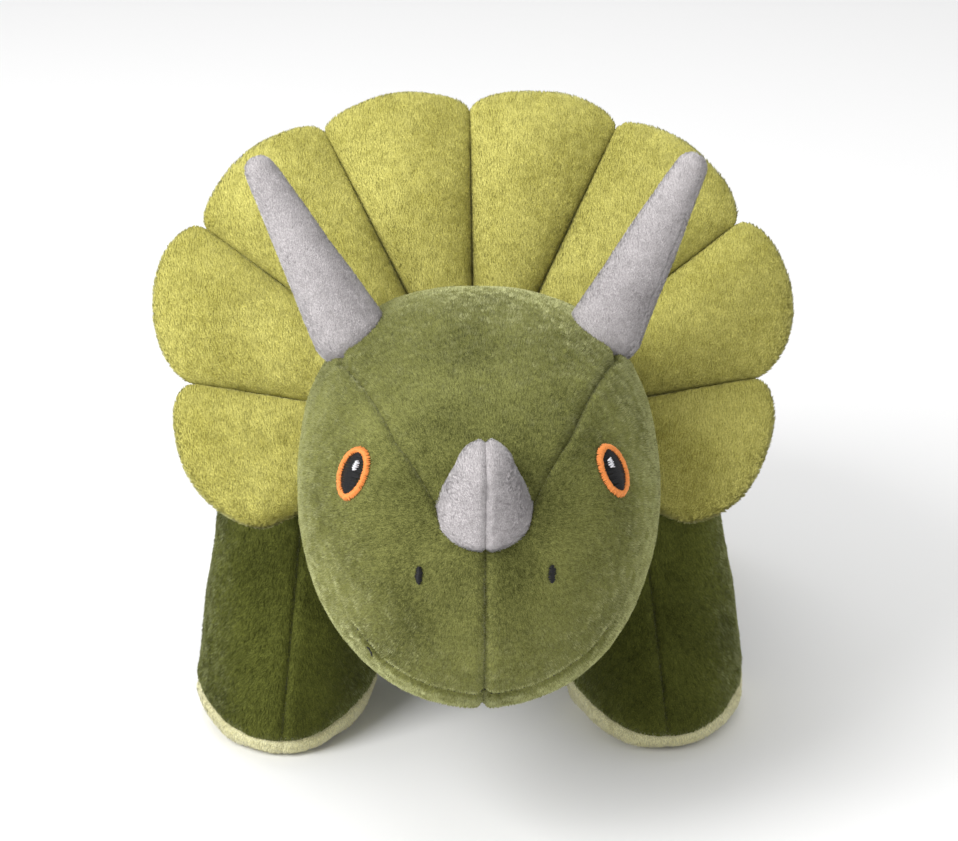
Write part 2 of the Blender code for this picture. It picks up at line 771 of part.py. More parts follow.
def frill_sheet(name, facing):
    """One face of the frill as an open sheet; facing is -1 for the front and 1 for the back."""
    bm = bmesh.new()
    bmesh.ops.create_grid(bm, x_segments=STEPS_ROUND, y_segments=REACH_STEPS, size=1.0)
    for vert in bm.verts:
        step = round((vert.co.x + 1) / 2 * STEPS_ROUND) - STEPS_ROUND // 2
        lobe = min(LOBES_A_SIDE - 1, abs(step) // LOBE_STEPS)
        share = (abs(step) - lobe * LOBE_STEPS) / LOBE_STEPS
        angle = math.copysign(mix(FRILL_EDGES[lobe], FRILL_EDGES[lobe + 1], share), step)
        reach = 1 - (1 - (vert.co.y + 1) / 2) ** REACH_CROWDING
        vert.co = frill_place(angle, reach, facing * frill_half(angle, reach))
    mesh = bpy.data.meshes.new(name)
    bmesh.ops.recalc_face_normals(bm, faces=bm.faces)
    bm.faces.ensure_lookup_table()
    outward = FRILL_FRAME.to_3x3() @ Vector((0.0, facing, 0.0))
    bm.normal_update()
    if sum(face.normal.dot(outward) for face in bm.faces) < 0:
        bmesh.ops.reverse_faces(bm, faces=bm.faces)
    bm.to_mesh(mesh)
    bm.free()
    mesh.shade_smooth()
    return mesh


for name, facing in (("frill_front_panel", -1), ("frill_back_panel", 1)):
    sheet = part(name, frill_sheet(name, facing), "lime_plush", "head")
    line_with_fabric(sheet, even=False)


def between_steps(value, lobe, share):
    """What the sheet's flats make of a value: a straight line from one step to the next."""
    step = min(LOBE_STEPS - 1, int(share * LOBE_STEPS))
    ends = [value(frill_angle(lobe, (step + more) / LOBE_STEPS)) for more in (0, 1)]
    return mix(ends[0], ends[1], share * LOBE_STEPS - step), ends[1] - ends[0]


def lobe_stuffing(name, lobe):
    """A pillow that fills a lobe between the two sheets."""
    cuts = 3
    bm = bmesh.new()
    bmesh.ops.create_cube(bm, size=2.0)
    flat_edges = [e for e in bm.edges if e.verts[0].co.z == e.verts[1].co.z]
    bmesh.ops.subdivide_edges(bm, edges=flat_edges, cuts=cuts, use_grid_fill=True)
    for vert in bm.verts:
        share = 0.5 + vert.co.x * LOBE_FILL / 2
        reach = 0.5 + vert.co.y * LOBE_FILL / 2
        angle = frill_angle(lobe, share)
        seat, rim = [between_steps(edge, lobe, share)[0] for edge in (frill_seat, frill_rim)]
        radius = mix(seat, rim, reach)
        half, rise = between_steps(lambda turn: frill_half(turn, reach), lobe, share)
        run = radius * between_steps(abs, lobe, share)[1]
        cloth = FABRIC * math.sqrt(1 + (rise / run) ** 2)
        height = vert.co.z * max(GAP, half - cloth - FRILL_SLACK)
        vert.co = FRILL_FRAME @ Vector(
            (radius * math.sin(angle), height, radius * math.cos(angle))
        )
    return finish_mesh(name, bm)


signed_lobes = [lobe for lobe in range(-LOBES_A_SIDE, LOBES_A_SIDE + 1) if lobe]
for number, lobe in enumerate(signed_lobes, 1):
    name = f"frill_stuffing_{number}"
    part(name, lobe_stuffing(name, lobe), "polyester_stuffing", "head")

# Legs.
LEG_SEGMENTS, BALL_RINGS, SHAFT_RINGS = 12, 4, 4
LEG_RINGS = BALL_RINGS + SHAFT_RINGS + len(FOOT_PROFILE)


def leg_point(hip, side):
    """A ball at the hip, a shaft that bends forward and a flat foot that splays outwards."""

    def place(azimuth, ring):
        forward, splay = FOOT_FORWARD, FOOT_SPLAY
        if ring <= BALL_RINGS:
            polar = math.pi / 2 * ring / BALL_RINGS
            out, z = LEG_RADIUS * math.sin(polar), hip.z + LEG_RADIUS * math.cos(polar)
            forward = splay = 0.0
        elif ring <= BALL_RINGS + SHAFT_RINGS:
            share = (ring - BALL_RINGS) / SHAFT_RINGS
            out, z = LEG_RADIUS + ease(share) * FOOT_WIDENING, mix(hip.z, FOOT_ROUND, share)
            forward, splay = ease(share) * FOOT_FORWARD, share * FOOT_SPLAY
        else:
            girth, z = FOOT_PROFILE[ring - BALL_RINGS - SHAFT_RINGS - 1]
            out, forward = girth * (LEG_RADIUS + FOOT_WIDENING), girth * FOOT_FORWARD
        front_to_back = out + forward if math.sin(azimuth) < 0 else out
        return Vector(
            (
                hip.x + side * splay + out * math.cos(azimuth),
                hip.y + front_to_back * math.sin(azimuth),
                z,
            )
        )

    return place


sole_length = LEG_RADIUS * 2 + FOOT_FORWARD
sole_tilt = math.atan((SOLE_RISE_FRONT - SOLE_RISE_BACK) / sole_length)
for name, hip in hips.items():
    side = 1 if hip.x > 0 else -1
    body = name + "_leg"
    joint_empty(body, hip, "torso")
    form = closed_form(body + "_form", LEG_SEGMENTS, LEG_RINGS, leg_point(hip, side))
    seam_frame = Matrix.Translation(
        (hip.x, hip.y - LEG_RADIUS - FOOT_FORWARD, SOLE_RISE_FRONT)
    ) @ Matrix.Rotation(-sole_tilt, 4, "X")
    sole_region = block(
        body + "_sole_region", (-FAR, -FAR, -FAR), (FAR, FAR, -GAP / 2), seam_frame
    )
    for half_name, half_side in (("outer", side), ("inner", -side)):
        region = block(
            f"{body}_{half_name}_region",
            (min(half_side * GAP / 2, half_side * FAR), -FAR, GAP / 2),
            (max(half_side * GAP / 2, half_side * FAR), FAR, FAR),
            seam_frame,
        )
        panel = part(f"{body}_{half_name}_panel", form.copy(), "dark_olive_plush", body)
        line_with_fabric(panel)
        keep(panel, region)
    sole = part(body + "_sole", form.copy(), "cream_plush", body)
    line_with_fabric(sole)
    keep(sole, sole_region)
    part(body + "_stuffing", offset_mesh(form, -FABRIC - GAP), "polyester_stuffing", body)

# Tail.
TAIL_SEGMENTS, TAIL_RINGS, TAIL_BALL_RINGS = 12, 10, 3
joint_empty("tail", TAIL_ROOT, "torso")
straight_tail = horn_point(
    Matrix.Identity(4), TAIL_LENGTH, TAIL_RADIUS, TAIL_TIP, TAIL_RINGS, TAIL_BALL_RINGS
)
tail_frame = aimed(TAIL_ROOT, tail_axis)


def tail_point(azimuth, ring):
    local = straight_tail(azimuth, ring)
    share = max(0.0, local.z) / TAIL_LENGTH
    down = (tail_frame.to_3x3().inverted() @ Vector((0.0, 0.0, -1.0))).normalized()
    return tail_frame @ (local + down * TAIL_SAG * share * share)


tail_form = closed_form("tail_form", TAIL_SEGMENTS, TAIL_RINGS, tail_point)
for side_name in ("left", "right"):
    panel = part(f"tail_{side_name}_panel", tail_form.copy(), "dark_olive_plush", "tail")
    line_with_fabric(panel)
    keep(panel, bpy.data.objects[side_name + "_half"])
part("tail_stuffing", offset_mesh(tail_form, -FABRIC - GAP), "polyester_stuffing", "tail")
bpy.context.view_layer.update()
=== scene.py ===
"""Finishes a stuffed three-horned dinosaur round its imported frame: plush, stuffing and embroidery.

Sizes are in metres. The nose is towards -Y, and its own left side is +X.
"""

import json
import math

import bmesh
import bpy
import numpy as np
from mathutils import Matrix, Vector, noise
from mathutils.bvhtree import BVHTree

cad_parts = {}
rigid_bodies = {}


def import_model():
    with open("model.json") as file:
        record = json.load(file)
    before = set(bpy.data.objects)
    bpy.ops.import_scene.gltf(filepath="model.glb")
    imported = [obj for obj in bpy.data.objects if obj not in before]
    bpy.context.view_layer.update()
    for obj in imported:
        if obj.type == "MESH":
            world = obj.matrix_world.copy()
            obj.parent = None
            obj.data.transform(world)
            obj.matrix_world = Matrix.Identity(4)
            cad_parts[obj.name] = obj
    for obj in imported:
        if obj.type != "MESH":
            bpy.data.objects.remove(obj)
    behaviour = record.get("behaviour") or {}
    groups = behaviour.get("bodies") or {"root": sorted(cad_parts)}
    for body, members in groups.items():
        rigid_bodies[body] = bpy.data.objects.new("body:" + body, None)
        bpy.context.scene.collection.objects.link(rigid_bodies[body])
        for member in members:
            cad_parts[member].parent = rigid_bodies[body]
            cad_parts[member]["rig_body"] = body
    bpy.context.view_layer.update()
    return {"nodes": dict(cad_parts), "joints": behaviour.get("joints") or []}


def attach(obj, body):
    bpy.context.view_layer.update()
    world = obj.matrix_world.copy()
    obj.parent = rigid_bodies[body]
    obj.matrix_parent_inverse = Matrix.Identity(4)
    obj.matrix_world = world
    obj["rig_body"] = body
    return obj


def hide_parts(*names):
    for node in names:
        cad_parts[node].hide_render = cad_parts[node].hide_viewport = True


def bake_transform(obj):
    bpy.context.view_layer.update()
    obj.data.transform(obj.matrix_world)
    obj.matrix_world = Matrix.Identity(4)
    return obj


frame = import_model()
pivots = {joint["child"]: np.array(joint["pos_m"]) for joint in frame["joints"]}
MM = 0.001

# Head: four panels of short olive plush sewn into a drooping egg, with the seams turned inside.
# The forehead gusset runs from the nose to the horns, and a centre seam goes down the muzzle.
HEAD_SIZE = np.array([130, 166, 126]) * MM
HEAD_CENTRE = pivots["head"] + np.array([0, -69, 3]) * MM
HEAD_PITCH = math.radians(20)
HEAD_BOXINESS = 0.85
SNOUT_TAPER, JAW_TAPER = 0.13, 0.05
CLOTH = 1.3 * MM
BIG_LUMP, SMALL_LUMP, PUCKER = 38 * MM, 15 * MM, 3.6 * MM
# dark and light ends of the pile's colour; the span between them is painted sheen and shade of the pile's lay
OLIVE = ((0.058, 0.062, 0.013), (0.235, 0.242, 0.070))
MOUTH_DROP, MOUTH_TILT, MOUTH_REACH = 30 * MM, math.radians(42), 30 * MM
MOUTH_GROOVE = 0.6


def turn_about_x(angle):
    cos, sin = math.cos(angle), math.sin(angle)
    return np.array([[1, 0, 0], [0, cos, -sin], [0, sin, cos]])


def unit_rows(places):
    return places / np.linalg.norm(places, axis=1)[:, None]


def bend_power(value, power):
    """A power that keeps the sign and passes smoothly through zero."""
    return value * (value**2 + 0.004) ** ((power - 1) / 2)


def head_point(directions):
    side, back, up = directions.T
    width = 1 - SNOUT_TAPER * np.maximum(0, -back) ** 1.5 + JAW_TAPER * up
    local = bend_power(directions, HEAD_BOXINESS) * HEAD_SIZE / 2
    local[:, 0] *= width
    return local @ turn_about_x(HEAD_PITCH).T + HEAD_CENTRE


def in_head(points):
    """Points of the row frame in the head's own frame."""
    return (points - HEAD_CENTRE) @ turn_about_x(HEAD_PITCH)


def get_vectors(items, name):
    found = np.empty(len(items) * 3, np.float32)
    items.foreach_get(name, found)
    return found.reshape(-1, 3).astype(float)


def points_of(mesh):
    return get_vectors(mesh.vertices, "co"), get_vectors(mesh.vertices, "normal")


def set_points(mesh, points):
    mesh.vertices.foreach_set("co", points.astype(np.float32).ravel())
    mesh.update()


def kept_mesh(name, bm):
    mesh = bpy.data.meshes.new(name)
    bm.to_mesh(mesh)
    bm.free()
    return mesh


def even_ball(name, cuts, place):
    """A closed form: a ball of even squares, whose directions go to place()."""
    bm = bmesh.new()
    bmesh.ops.create_cube(bm, size=2.0)
    bmesh.ops.subdivide_edges(bm, edges=bm.edges[:], cuts=cuts, use_grid_fill=True)
    mesh = kept_mesh(name, bm)
    corners = np.tan(get_vectors(mesh.vertices, "co") * math.pi / 4)
    set_points(mesh, place(unit_rows(corners)))
    mesh.shade_smooth()
    return mesh


def seam_distance(points, normals, field):
    """How far skin points lie from the line where a field is zero, and the way to it."""
    step = 0.1 * MM
    value = field(points)
    slope = np.stack([(field(points + step * axis) - value) / step for axis in np.eye(3)], 1)
    slope -= normals * (slope * normals).sum(1)[:, None]
    size = np.maximum(np.linalg.norm(slope, axis=1), 0.2)
    return value / size, slope / size[:, None]


def lumps(points, scale, seed=0.0):
    """Smooth noise from -1 to 1 at each point, whose hills are about scale apart."""
    shift = Vector((seed, 3.1 * seed, 7.7 * seed))
    return np.array([noise.noise(Vector(p) / scale + shift) for p in points])


def sink_seams(mesh, seams, depth, width, stuffing=0.9 * MM):
    """Pulls a form in along its seams, with puckers beside them and lumps of filling all over.

    Each seam is a field, zero on the seam, and a function that says from 0 to 1 how much of it shows.
    """
    points, normals = points_of(mesh)
    move = stuffing * (lumps(points, BIG_LUMP) + 0.5 * lumps(points, SMALL_LUMP, 4.0))
    fine = lumps(points, PUCKER, 9.0)
    for field, where in seams:
        distance, _ = seam_distance(points, normals, field)
        share = where(points)
        near = np.exp(-((distance / width) ** 2))
        beside = np.exp(-((distance / (3.2 * width)) ** 2))
        move += share * (depth * (0.35 * beside - 1.25 * near) + 0.6 * MM * fine * beside)
    set_points(mesh, points + normals * move[:, None])


def everywhere(points):
    return np.ones(len(points))


FARTHEST_MOVE = 1.2 * MM


def sides_of(mesh, fields):
    """Moves the points nearest a seam onto it and gives, for each face, its side of every seam."""
    faces = np.empty(len(mesh.polygons) * 4, np.int32)
    mesh.polygons.foreach_get("vertices", faces)
    faces = faces.reshape(-1, 4)
    sides = []
    for field in fields:
        points, normals = points_of(mesh)
        side = field(points[faces].mean(1)) > 0
        touched = np.zeros((len(points), 2), bool)
        for corner in faces.T:
            touched[corner[side], 0] = True
            touched[corner[~side], 1] = True
        edge = touched.all(1)
        distance, slope = seam_distance(points, normals, field)
        reach = np.clip(distance[edge], -FARTHEST_MOVE, FARTHEST_MOVE)
        points[edge] -= slope[edge] * reach[:, None]
        set_points(mesh, points)
        sides.append(side)
    return np.array(sides)


def panel_mesh(name, mesh, chosen):
    """The chosen faces of a form as a mesh of its own."""
    bm = bmesh.new()
    bm.from_mesh(mesh)
    bmesh.ops.delete(bm, geom=[f for f in bm.faces if not chosen[f.index]], context="FACES")
    panel = kept_mesh(name, bm)
    panel.shade_smooth()
    return panel


def add_object(name, data):
    obj = bpy.data.objects.new(name, data)
    bpy.context.scene.collection.objects.link(obj)
    return obj


def applied(obj):
    """Makes what an object's modifiers give its plain mesh, and removes the modifiers."""
    bpy.context.view_layer.update()
    made = bpy.data.meshes.new_from_object(obj.evaluated_get(bpy.context.evaluated_depsgraph_get()))
    obj.modifiers.clear()
    obj.data = made
    return obj


def set_inputs(tree, node, **values):
    for name, value in values.items():
        wire_in(tree, node, name.replace("_", " "), value)
    return node


def node_in(tree, kind, settings=(), **values):
    """A node with its settings, and its inputs set or linked by name."""
    node = tree.nodes.new(kind)
    for name, value in dict(settings).items():
        setattr(node, name, value)
    return set_inputs(tree, node, **values)


def wire_in(tree, node, name, value):
    socket = node.inputs[int(name[1:])] if name[0] == "n" and name[1:].isdigit() else node.inputs[name]
    if isinstance(value, bpy.types.NodeSocket):
        tree.links.new(value, socket)
    elif isinstance(value, bpy.types.Node):
        tree.links.new(value.outputs[0], socket)
    else:
        socket.default_value = value


def new_material(name):
    material = bpy.data.materials.new(name)
    material.use_nodes = True
    return material, material.node_tree, material.node_tree.nodes["Principled BSDF"]


def noise_in(tree, scale, **values):
    place = tree.nodes.new("ShaderNodeTexCoord").outputs["Object"]
    return node_in(tree, "ShaderNodeTexNoise", Vector=place, Scale=scale, **values)


def two_shades(tree, share, dark, light):
    return node_in(tree, "ShaderNodeMix", {"data_type": "RGBA"}, n0=share, n6=dark, n7=light).outputs[2]


def add_relief(tree, shader, height, strength, distance):
    relief = node_in(tree, "ShaderNodeBump", Strength=strength, Distance=distance, Height=height)
    wire_in(tree, shader, "Normal", relief)


def maths(tree, operation, first, second=0.0):
    return node_in(tree, "ShaderNodeMath", {"operation": operation}, n0=first, n1=second)


def vector_maths(tree, operation, first, second=(0.0, 0.0, 0.0)):
    return node_in(tree, "ShaderNodeVectorMath", {"operation": operation}, n0=first, n1=second)


def scaled(tree, vector, by):
    return node_in(tree, "ShaderNodeVectorMath", {"operation": "SCALE"}, n0=vector, Scale=by)


def new_tree(name, kind, inputs, outputs):
    """A node tree with named inputs (title, kind, default) and outputs, and its two end nodes."""
    tree = bpy.data.node_groups.new(name, kind)
    for title, socket_kind, default in inputs:
        socket = tree.interface.new_socket(title, in_out="INPUT", socket_type="NodeSocket" + socket_kind)
        if default is not None:
            socket.default_value = default
    for title, socket_kind in outputs:
        tree.interface.new_socket(title, in_out="OUTPUT", socket_type="NodeSocket" + socket_kind)
    return tree, tree.nodes.new("NodeGroupInput").outputs, tree.nodes.new("NodeGroupOutput")


HAIRS_PER_METRE, PATCHES, STRAY_HAIRS = 2600.0, 1.2, 1.7


def pile_tone_and_sheen():
    """Plush colour: painted sheen and shade, dark where hairs lie one way and light the other way, in clumps
    and patches, with random tone from hair to hair.
    """
    tree, given, out = new_tree(
        "pile_tone_and_sheen",
        "ShaderNodeTree",
        [
            ("Dark", "Color", None), ("Light", "Color", None), ("Patch size", "Float", 0.03),
            ("Clump size", "Float", 0.003), ("Clumps", "Float", 0.5),
        ],
        [("Color", "Color"), ("Roughness", "Float"), ("Height", "Float")],
    )
    patches = noise_in(tree, maths(tree, "DIVIDE", 1.0, given["Patch size"]), Detail=2.0)
    clumps = noise_in(tree, maths(tree, "DIVIDE", 1.0, given["Clump size"]), Detail=3.0)
    hairs = noise_in(tree, HAIRS_PER_METRE, Detail=1.0)
    light = 0.5
    for field, weight in ((clumps, given["Clumps"]), (patches, PATCHES), (hairs, STRAY_HAIRS)):
        swing = maths(tree, "MULTIPLY", maths(tree, "SUBTRACT", field, 0.5), weight)
        light = maths(tree, "ADD", swing, light)
    share = node_in(tree, "ShaderNodeClamp", Value=light)
    # painted sheen and shade: the dark and light colours mixed here stand in for how light falls on the
    # pile's lay
    tones = two_shades(tree, share, given["Dark"], given["Light"])
    rough = maths(tree, "SUBTRACT", 0.97, maths(tree, "MULTIPLY", share, 0.22))
    set_inputs(tree, out, Color=tones, Roughness=rough, Height=maths(tree, "ADD", clumps, hairs))
    return tree


def plush(name, shades, sheen, clump_size=1.5 * MM, clumps=1.2, shade=1.0, bump=0.35):
    """A plush cloth's material: pile with painted sheen and shade in patches, and a soft sheen at its edges.
    """
    material, tree, shader = new_material(name)
    # a shade below 1 darkens both colours: a painted shade
    dark, light = [tuple(value * shade for value in colour) + (1.0,) for colour in shades]
    tone_and_sheen = node_in(tree, "ShaderNodeGroup", {"node_tree": PILE_TONE_AND_SHEEN}, Dark=dark, Light=light)
    set_inputs(tree, tone_and_sheen, Clump_size=clump_size, Clumps=clumps)
    set_inputs(tree, shader, Base_Color=tone_and_sheen.outputs["Color"], Roughness=tone_and_sheen.outputs["Roughness"])
    if bump:
        add_relief(tree, shader, tone_and_sheen.outputs["Height"], bump, 0.6 * MM)
    else:
        hair = tree.nodes.new("ShaderNodeNewGeometry")
        outward = maths(tree, "SUBTRACT", 1.0, maths(tree, "MULTIPLY", hair.outputs["Backfacing"], 2.0))
        wire_in(tree, shader, "Normal", scaled(tree, hair.outputs["Normal"], outward))
    edge = (*[min(1.0, v * 1.8 + 0.22) for v in light[:3]], 1.0)
    set_inputs(tree, shader, Sheen_Weight=sheen, Sheen_Roughness=0.4, Sheen_Tint=edge)
    set_inputs(tree, shader, Specular_IOR_Level=0.15)
    return material


def along_skin(tree, vector, normal):
    """The part of a vector that lies in the skin."""
    upright = vector_maths(tree, "DOT_PRODUCT", vector, normal).outputs["Value"]
    return vector_maths(tree, "SUBTRACT", vector, scaled(tree, normal, upright))


def end_in_faces(tree, out, shapes, material):
    """Ends a Geometry Nodes tree: its shapes as real faces, in their material."""
    real = node_in(tree, "GeometryNodeRealizeInstances", Geometry=shapes)
    wire_in(tree, out, "n0", node_in(tree, "GeometryNodeSetMaterial", Geometry=real, Material=material))
    return tree


def pile_nodes():
    """Short pile: tapered hairs that stand on a skin and lean together in patches."""
    tree, given, out = new_tree(
        "short_pile",
        "GeometryNodeTree",
        [
            ("Skin", "Geometry", None), ("Hairs per square metre", "Float", 2.0e6),
            ("Hair length", "Float", 0.0024), ("Hair width", "Float", 0.0006),
            ("Upright", "Float", 0.7), ("Lean", "Float", 0.9), ("Lay", "Vector", (0.0, 0.0, -1.0)),
            ("Patch size", "Float", 0.004), ("Seed", "Int", 1), ("Cloth", "Material", None),
        ],
        [("Pile", "Geometry")],
    )
    roots = node_in(tree, "GeometryNodeDistributePointsOnFaces", Mesh=given["Skin"], Seed=given["Seed"])
    set_inputs(tree, roots, Density=given["Hairs per square metre"])
    share = node_in(tree, "GeometryNodeInputNamedAttribute", {"data_type": "FLOAT"}, Name="pile_share")
    bare = node_in(tree, "FunctionNodeCompare", {"operation": "LESS_THAN"}, n0=share, n1=0.2)
    standing = node_in(tree, "GeometryNodeDeleteGeometry", {"domain": "POINT"}, Selection=bare)
    set_inputs(tree, standing, Geometry=roots.outputs["Points"])
    place = tree.nodes.new("GeometryNodeInputPosition")
    per_patch = maths(tree, "DIVIDE", 1.0, given["Patch size"])
    coarse = node_in(tree, "ShaderNodeTexNoise", Vector=place, Scale=per_patch, Detail=2.0)
    middle = vector_maths(tree, "SUBTRACT", coarse.outputs["Color"], (0.5, 0.5, 0.5))
    lean = scaled(tree, middle, maths(tree, "MULTIPLY", given["Lean"], 3.0))
    as_vector = {"data_type": "FLOAT_VECTOR"}
    stray = node_in(tree, "FunctionNodeRandomValue", as_vector, n0=(-0.3,) * 3, n1=(0.3,) * 3)
    normal = roots.outputs["Normal"]
    astray = along_skin(tree, vector_maths(tree, "ADD", lean, stray), normal)
    brushed = vector_maths(tree, "NORMALIZE", along_skin(tree, given["Lay"], normal))
    flat = vector_maths(tree, "ADD", brushed, astray)
    ways = vector_maths(tree, "ADD", scaled(tree, normal, given["Upright"]), flat)
    along = node_in(tree, "FunctionNodeAlignRotationToVector", {"axis": "Z"}, Vector=ways)
    inwards = scaled(tree, normal, -1.0)
    about_hair = {"axis": "Y", "pivot_axis": "Z"}
    aimed = node_in(tree, "FunctionNodeAlignRotationToVector", about_hair, Rotation=along, Vector=inwards)
    spin_by = node_in(tree, "FunctionNodeRandomValue", {"data_type": "FLOAT"}, n2=-0.9, n3=0.9)
    spin = node_in(tree, "FunctionNodeAxisAngleToRotation", Axis=(0.0, 0.0, 1.0), Angle=spin_by.outputs[1])
    local = {"rotation_space": "LOCAL"}
    turned = node_in(tree, "FunctionNodeRotateRotation", local, Rotation=aimed, Rotate_By=spin)
    circle = node_in(tree, "GeometryNodeMeshCircle", {"fill_type": "NGON"}, Vertices=3, Radius=0.5)
    index = tree.nodes.new("GeometryNodeInputIndex")
    is_tip = {"data_type": "INT", "operation": "EQUAL"}
    tip = node_in(tree, "FunctionNodeCompare", is_tip, n2=index, n3=0)
    across = maths(tree, "MULTIPLY", maths(tree, "SUBTRACT", index, 1.5), maths(tree, "SUBTRACT", 1.0, tip))
    corner = node_in(tree, "ShaderNodeCombineXYZ", X=across, Y=0.0, Z=tip)
    hair = node_in(tree, "GeometryNodeSetPosition", Geometry=circle, Position=corner)
    long = node_in(tree, "FunctionNodeRandomValue", {"data_type": "FLOAT"}, n2=0.65, n3=1.0)
    full = maths(tree, "MULTIPLY", given["Hair length"], share)
    length = maths(tree, "MULTIPLY", full, long.outputs[1])
    size = node_in(tree, "ShaderNodeCombineXYZ", X=given["Hair width"], Y=1.0, Z=length)
    nap = vector_maths(tree, "NORMALIZE", vector_maths(tree, "ADD", normal, scaled(tree, astray, 0.8)))
    stored = node_in(tree, "GeometryNodeStoreNamedAttribute", as_vector, Name="nap", Value=nap)
    set_inputs(tree, stored, Geometry=standing)
    hairs = node_in(tree, "GeometryNodeInstanceOnPoints", Points=stored, Instance=hair)
    set_inputs(tree, hairs, Rotation=turned, Scale=size)
    return end_in_faces(tree, out, hairs, given["Cloth"])


def run_nodes(obj, tree, values):
    """Runs a Geometry Nodes tree on an object and keeps its result as a plain mesh."""
    modifier = obj.modifiers.new(tree.name, "NODES")
    modifier.node_group = tree
    sockets = {s.name: s.identifier for s in tree.interface.items_tree if s.in_out == "INPUT"}
    for title, value in values.items():
        modifier[sockets[title]] = value
    return applied(obj)


def grow_pile(
    name, skin, cloth, hairs, share, length=1.6 * MM, width=0.5 * MM, lay=(0, 0.9, -0.44), lean=0.5
):
    """Pile on a skin mesh, as a piece of its own that is shaded like the cloth it stands on.

    share() gives its length at each skin point, as a share of the full length.
    """
    global pile_count
    pile_count += 1
    skin = skin.copy()
    points, normals = points_of(skin)
    lengths = skin.attributes.new("pile_share", "FLOAT", "POINT")
    lengths.data.foreach_set("value", share(points, normals).astype(np.float32))
    pile = run_nodes(
        add_object(name, skin),
        SHORT_PILE,
        {
            "Hairs per square metre": hairs * 1e6 * 1.0,
            "Hair length": length,
            "Hair width": width * 1.0,
            "Lay": lay,
            "Lean": lean,
            "Seed": pile_count,
            "Cloth": cloth,
        },
    )
    mesh = pile.data
    nap = get_vectors(mesh.attributes["nap"].data, "vector")
    for title in ("nap", "pile_share"):
        if title in mesh.attributes:
            mesh.attributes.remove(mesh.attributes[title])
    mesh.shade_smooth()
    mesh.normals_split_custom_set_from_vertices(nap)
    return pile


def line_cloth(obj):
    """Gives an open panel the thickness of its cloth, inwards."""
    wall = obj.modifiers.new("cloth", "SOLIDIFY")
    wall.thickness = CLOTH
    wall.offset = -1.0
    return applied(obj)


bends = {}


def hang_on(piece, body):
    """Makes a piece move with a body; a piece of a body listed in bends keeps its place baked into its mesh
    and hangs on no body.
    """
    if body in bends:
        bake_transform(piece)
    else:
        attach(piece, body)


def finish_panel(panel, pile, cloth, node, body):
    """Gives a panel its cloth, hangs it on a body with its pile, and hides the CAD part it stands for."""
    line_cloth(panel)
    panel.data.materials.append(cloth)
    for piece in (panel, pile):
        hang_on(piece, body)
    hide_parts(node)


def sew(mesh, panels, plushes, body, hairs, seams=(), share=None, **pile_values):
    """Panels of a form as cloth with its pile. panels gives each one's name, CAD node and faces."""
    cloth, pile_cloth = plushes

    def shorter_at_seams(points, normals):
        kept = np.ones(len(points))
        for field, where in seams:
            distance, _ = seam_distance(points, normals, field)
            kept -= 0.65 * where(points) * np.exp(-((distance / (1.1 * MM)) ** 2))
        return np.clip(kept, 0.25, 1) * (share(points) if share else 1.0)

    for name, node, chosen in panels:
        skin = panel_mesh(name, mesh, chosen)
        panel = add_object(name, skin)
        pile = grow_pile(name + "_pile", skin, pile_cloth, hairs, shorter_at_seams, **pile_values)
        finish_panel(panel, pile, cloth, node, body)


def all_faces(mesh):
    return np.ones(len(mesh.polygons), bool)


def left_and_right(stem, left, right):
    """The panels of a piece that is sewn from a left and a right half."""
    return [
        (f"{stem}_left_plush", f"{stem}_left_panel", left),
        (f"{stem}_right_plush", f"{stem}_right_panel", right),
    ]


PILE_TONE_AND_SHEEN = pile_tone_and_sheen()
SHORT_PILE = pile_nodes()
pile_count = 0


def plush_pair(name, shades, sheen, **values):
    """The cloth under the pile, painted a little darker for the shade the pile casts on it, and the pile
    itself.
    """
    # painted shade: the cloth among the hair roots is darkened to 0.75
    cloth = plush(name, shades, sheen, shade=0.75, **values)
    return cloth, plush(name + "_pile", shades, sheen, bump=0, **values)


OLIVE_PLUSH = plush_pair("olive_plush", OLIVE, 1.0)

NOSE_AT = -58 * MM
GUSSET_PLACES = np.array([-67, -35.5, 17.4, 60]) * MM
GUSSET_HALVES = np.array([13, 30, 49, 49]) * MM
CHIN_DROP = 40 * MM


def gusset_half(back):
    """The forehead gusset's half width, narrow at the nose and wide between the horns."""
    return np.interp(back, GUSSET_PLACES, GUSSET_HALVES)


def gusset_field(points):
    """Above zero inside the forehead gusset."""
    side, back, up = in_head(points).T
    beyond = np.minimum(up, back - GUSSET_PLACES[0])
    return np.minimum(gusset_half(back) - np.abs(side), beyond)


def chin_field(points):
    return -CHIN_DROP - in_head(points)[:, 2]


def middle_field(points):
    return points[:, 0]


def on_muzzle(points):
    """Full below and in front of the nose horn, where the centre seam shows."""
    _, back, up = in_head(points).T
    return (1 / (1 + np.exp((back - NOSE_AT) / (4 * MM)))) * (back < 0)


mouth_middle = head_point(np.array([[0.0, -1.0, 0.0]]))[0] - turn_about_x(HEAD_PITCH)[:, 2] * MOUTH_DROP
mouth_ways = turn_about_x(HEAD_PITCH + MOUTH_TILT)


def mouth_field(points):
    return (points - mouth_middle) @ mouth_ways[:, 2]


def on_mouth(points):
    """Full along the smile, which runs back from the tip of the muzzle."""
    back = (points - mouth_middle) @ mouth_ways[:, 1]
    return MOUTH_GROOVE / (1 + np.exp((back - MOUTH_REACH) / (1.5 * MM)))


head_form = even_ball("head_form", 88, head_point)
head_seams = [
    (gusset_field, everywhere),
    (middle_field, on_muzzle),
    (chin_field, lambda points: 0.4 * everywhere(points)),
    (mouth_field, on_mouth),
]
sink_seams(head_form, head_seams, depth=1.9 * MM, width=1.7 * MM)
inside_gusset, inside_chin, on_left = sides_of(head_form, [gusset_field, chin_field, middle_field])
cheeks = ~inside_gusset & ~inside_chin
bm = bmesh.new()
bm.from_mesh(head_form)
head_tree = BVHTree.FromBMesh(bm)
bm.free()

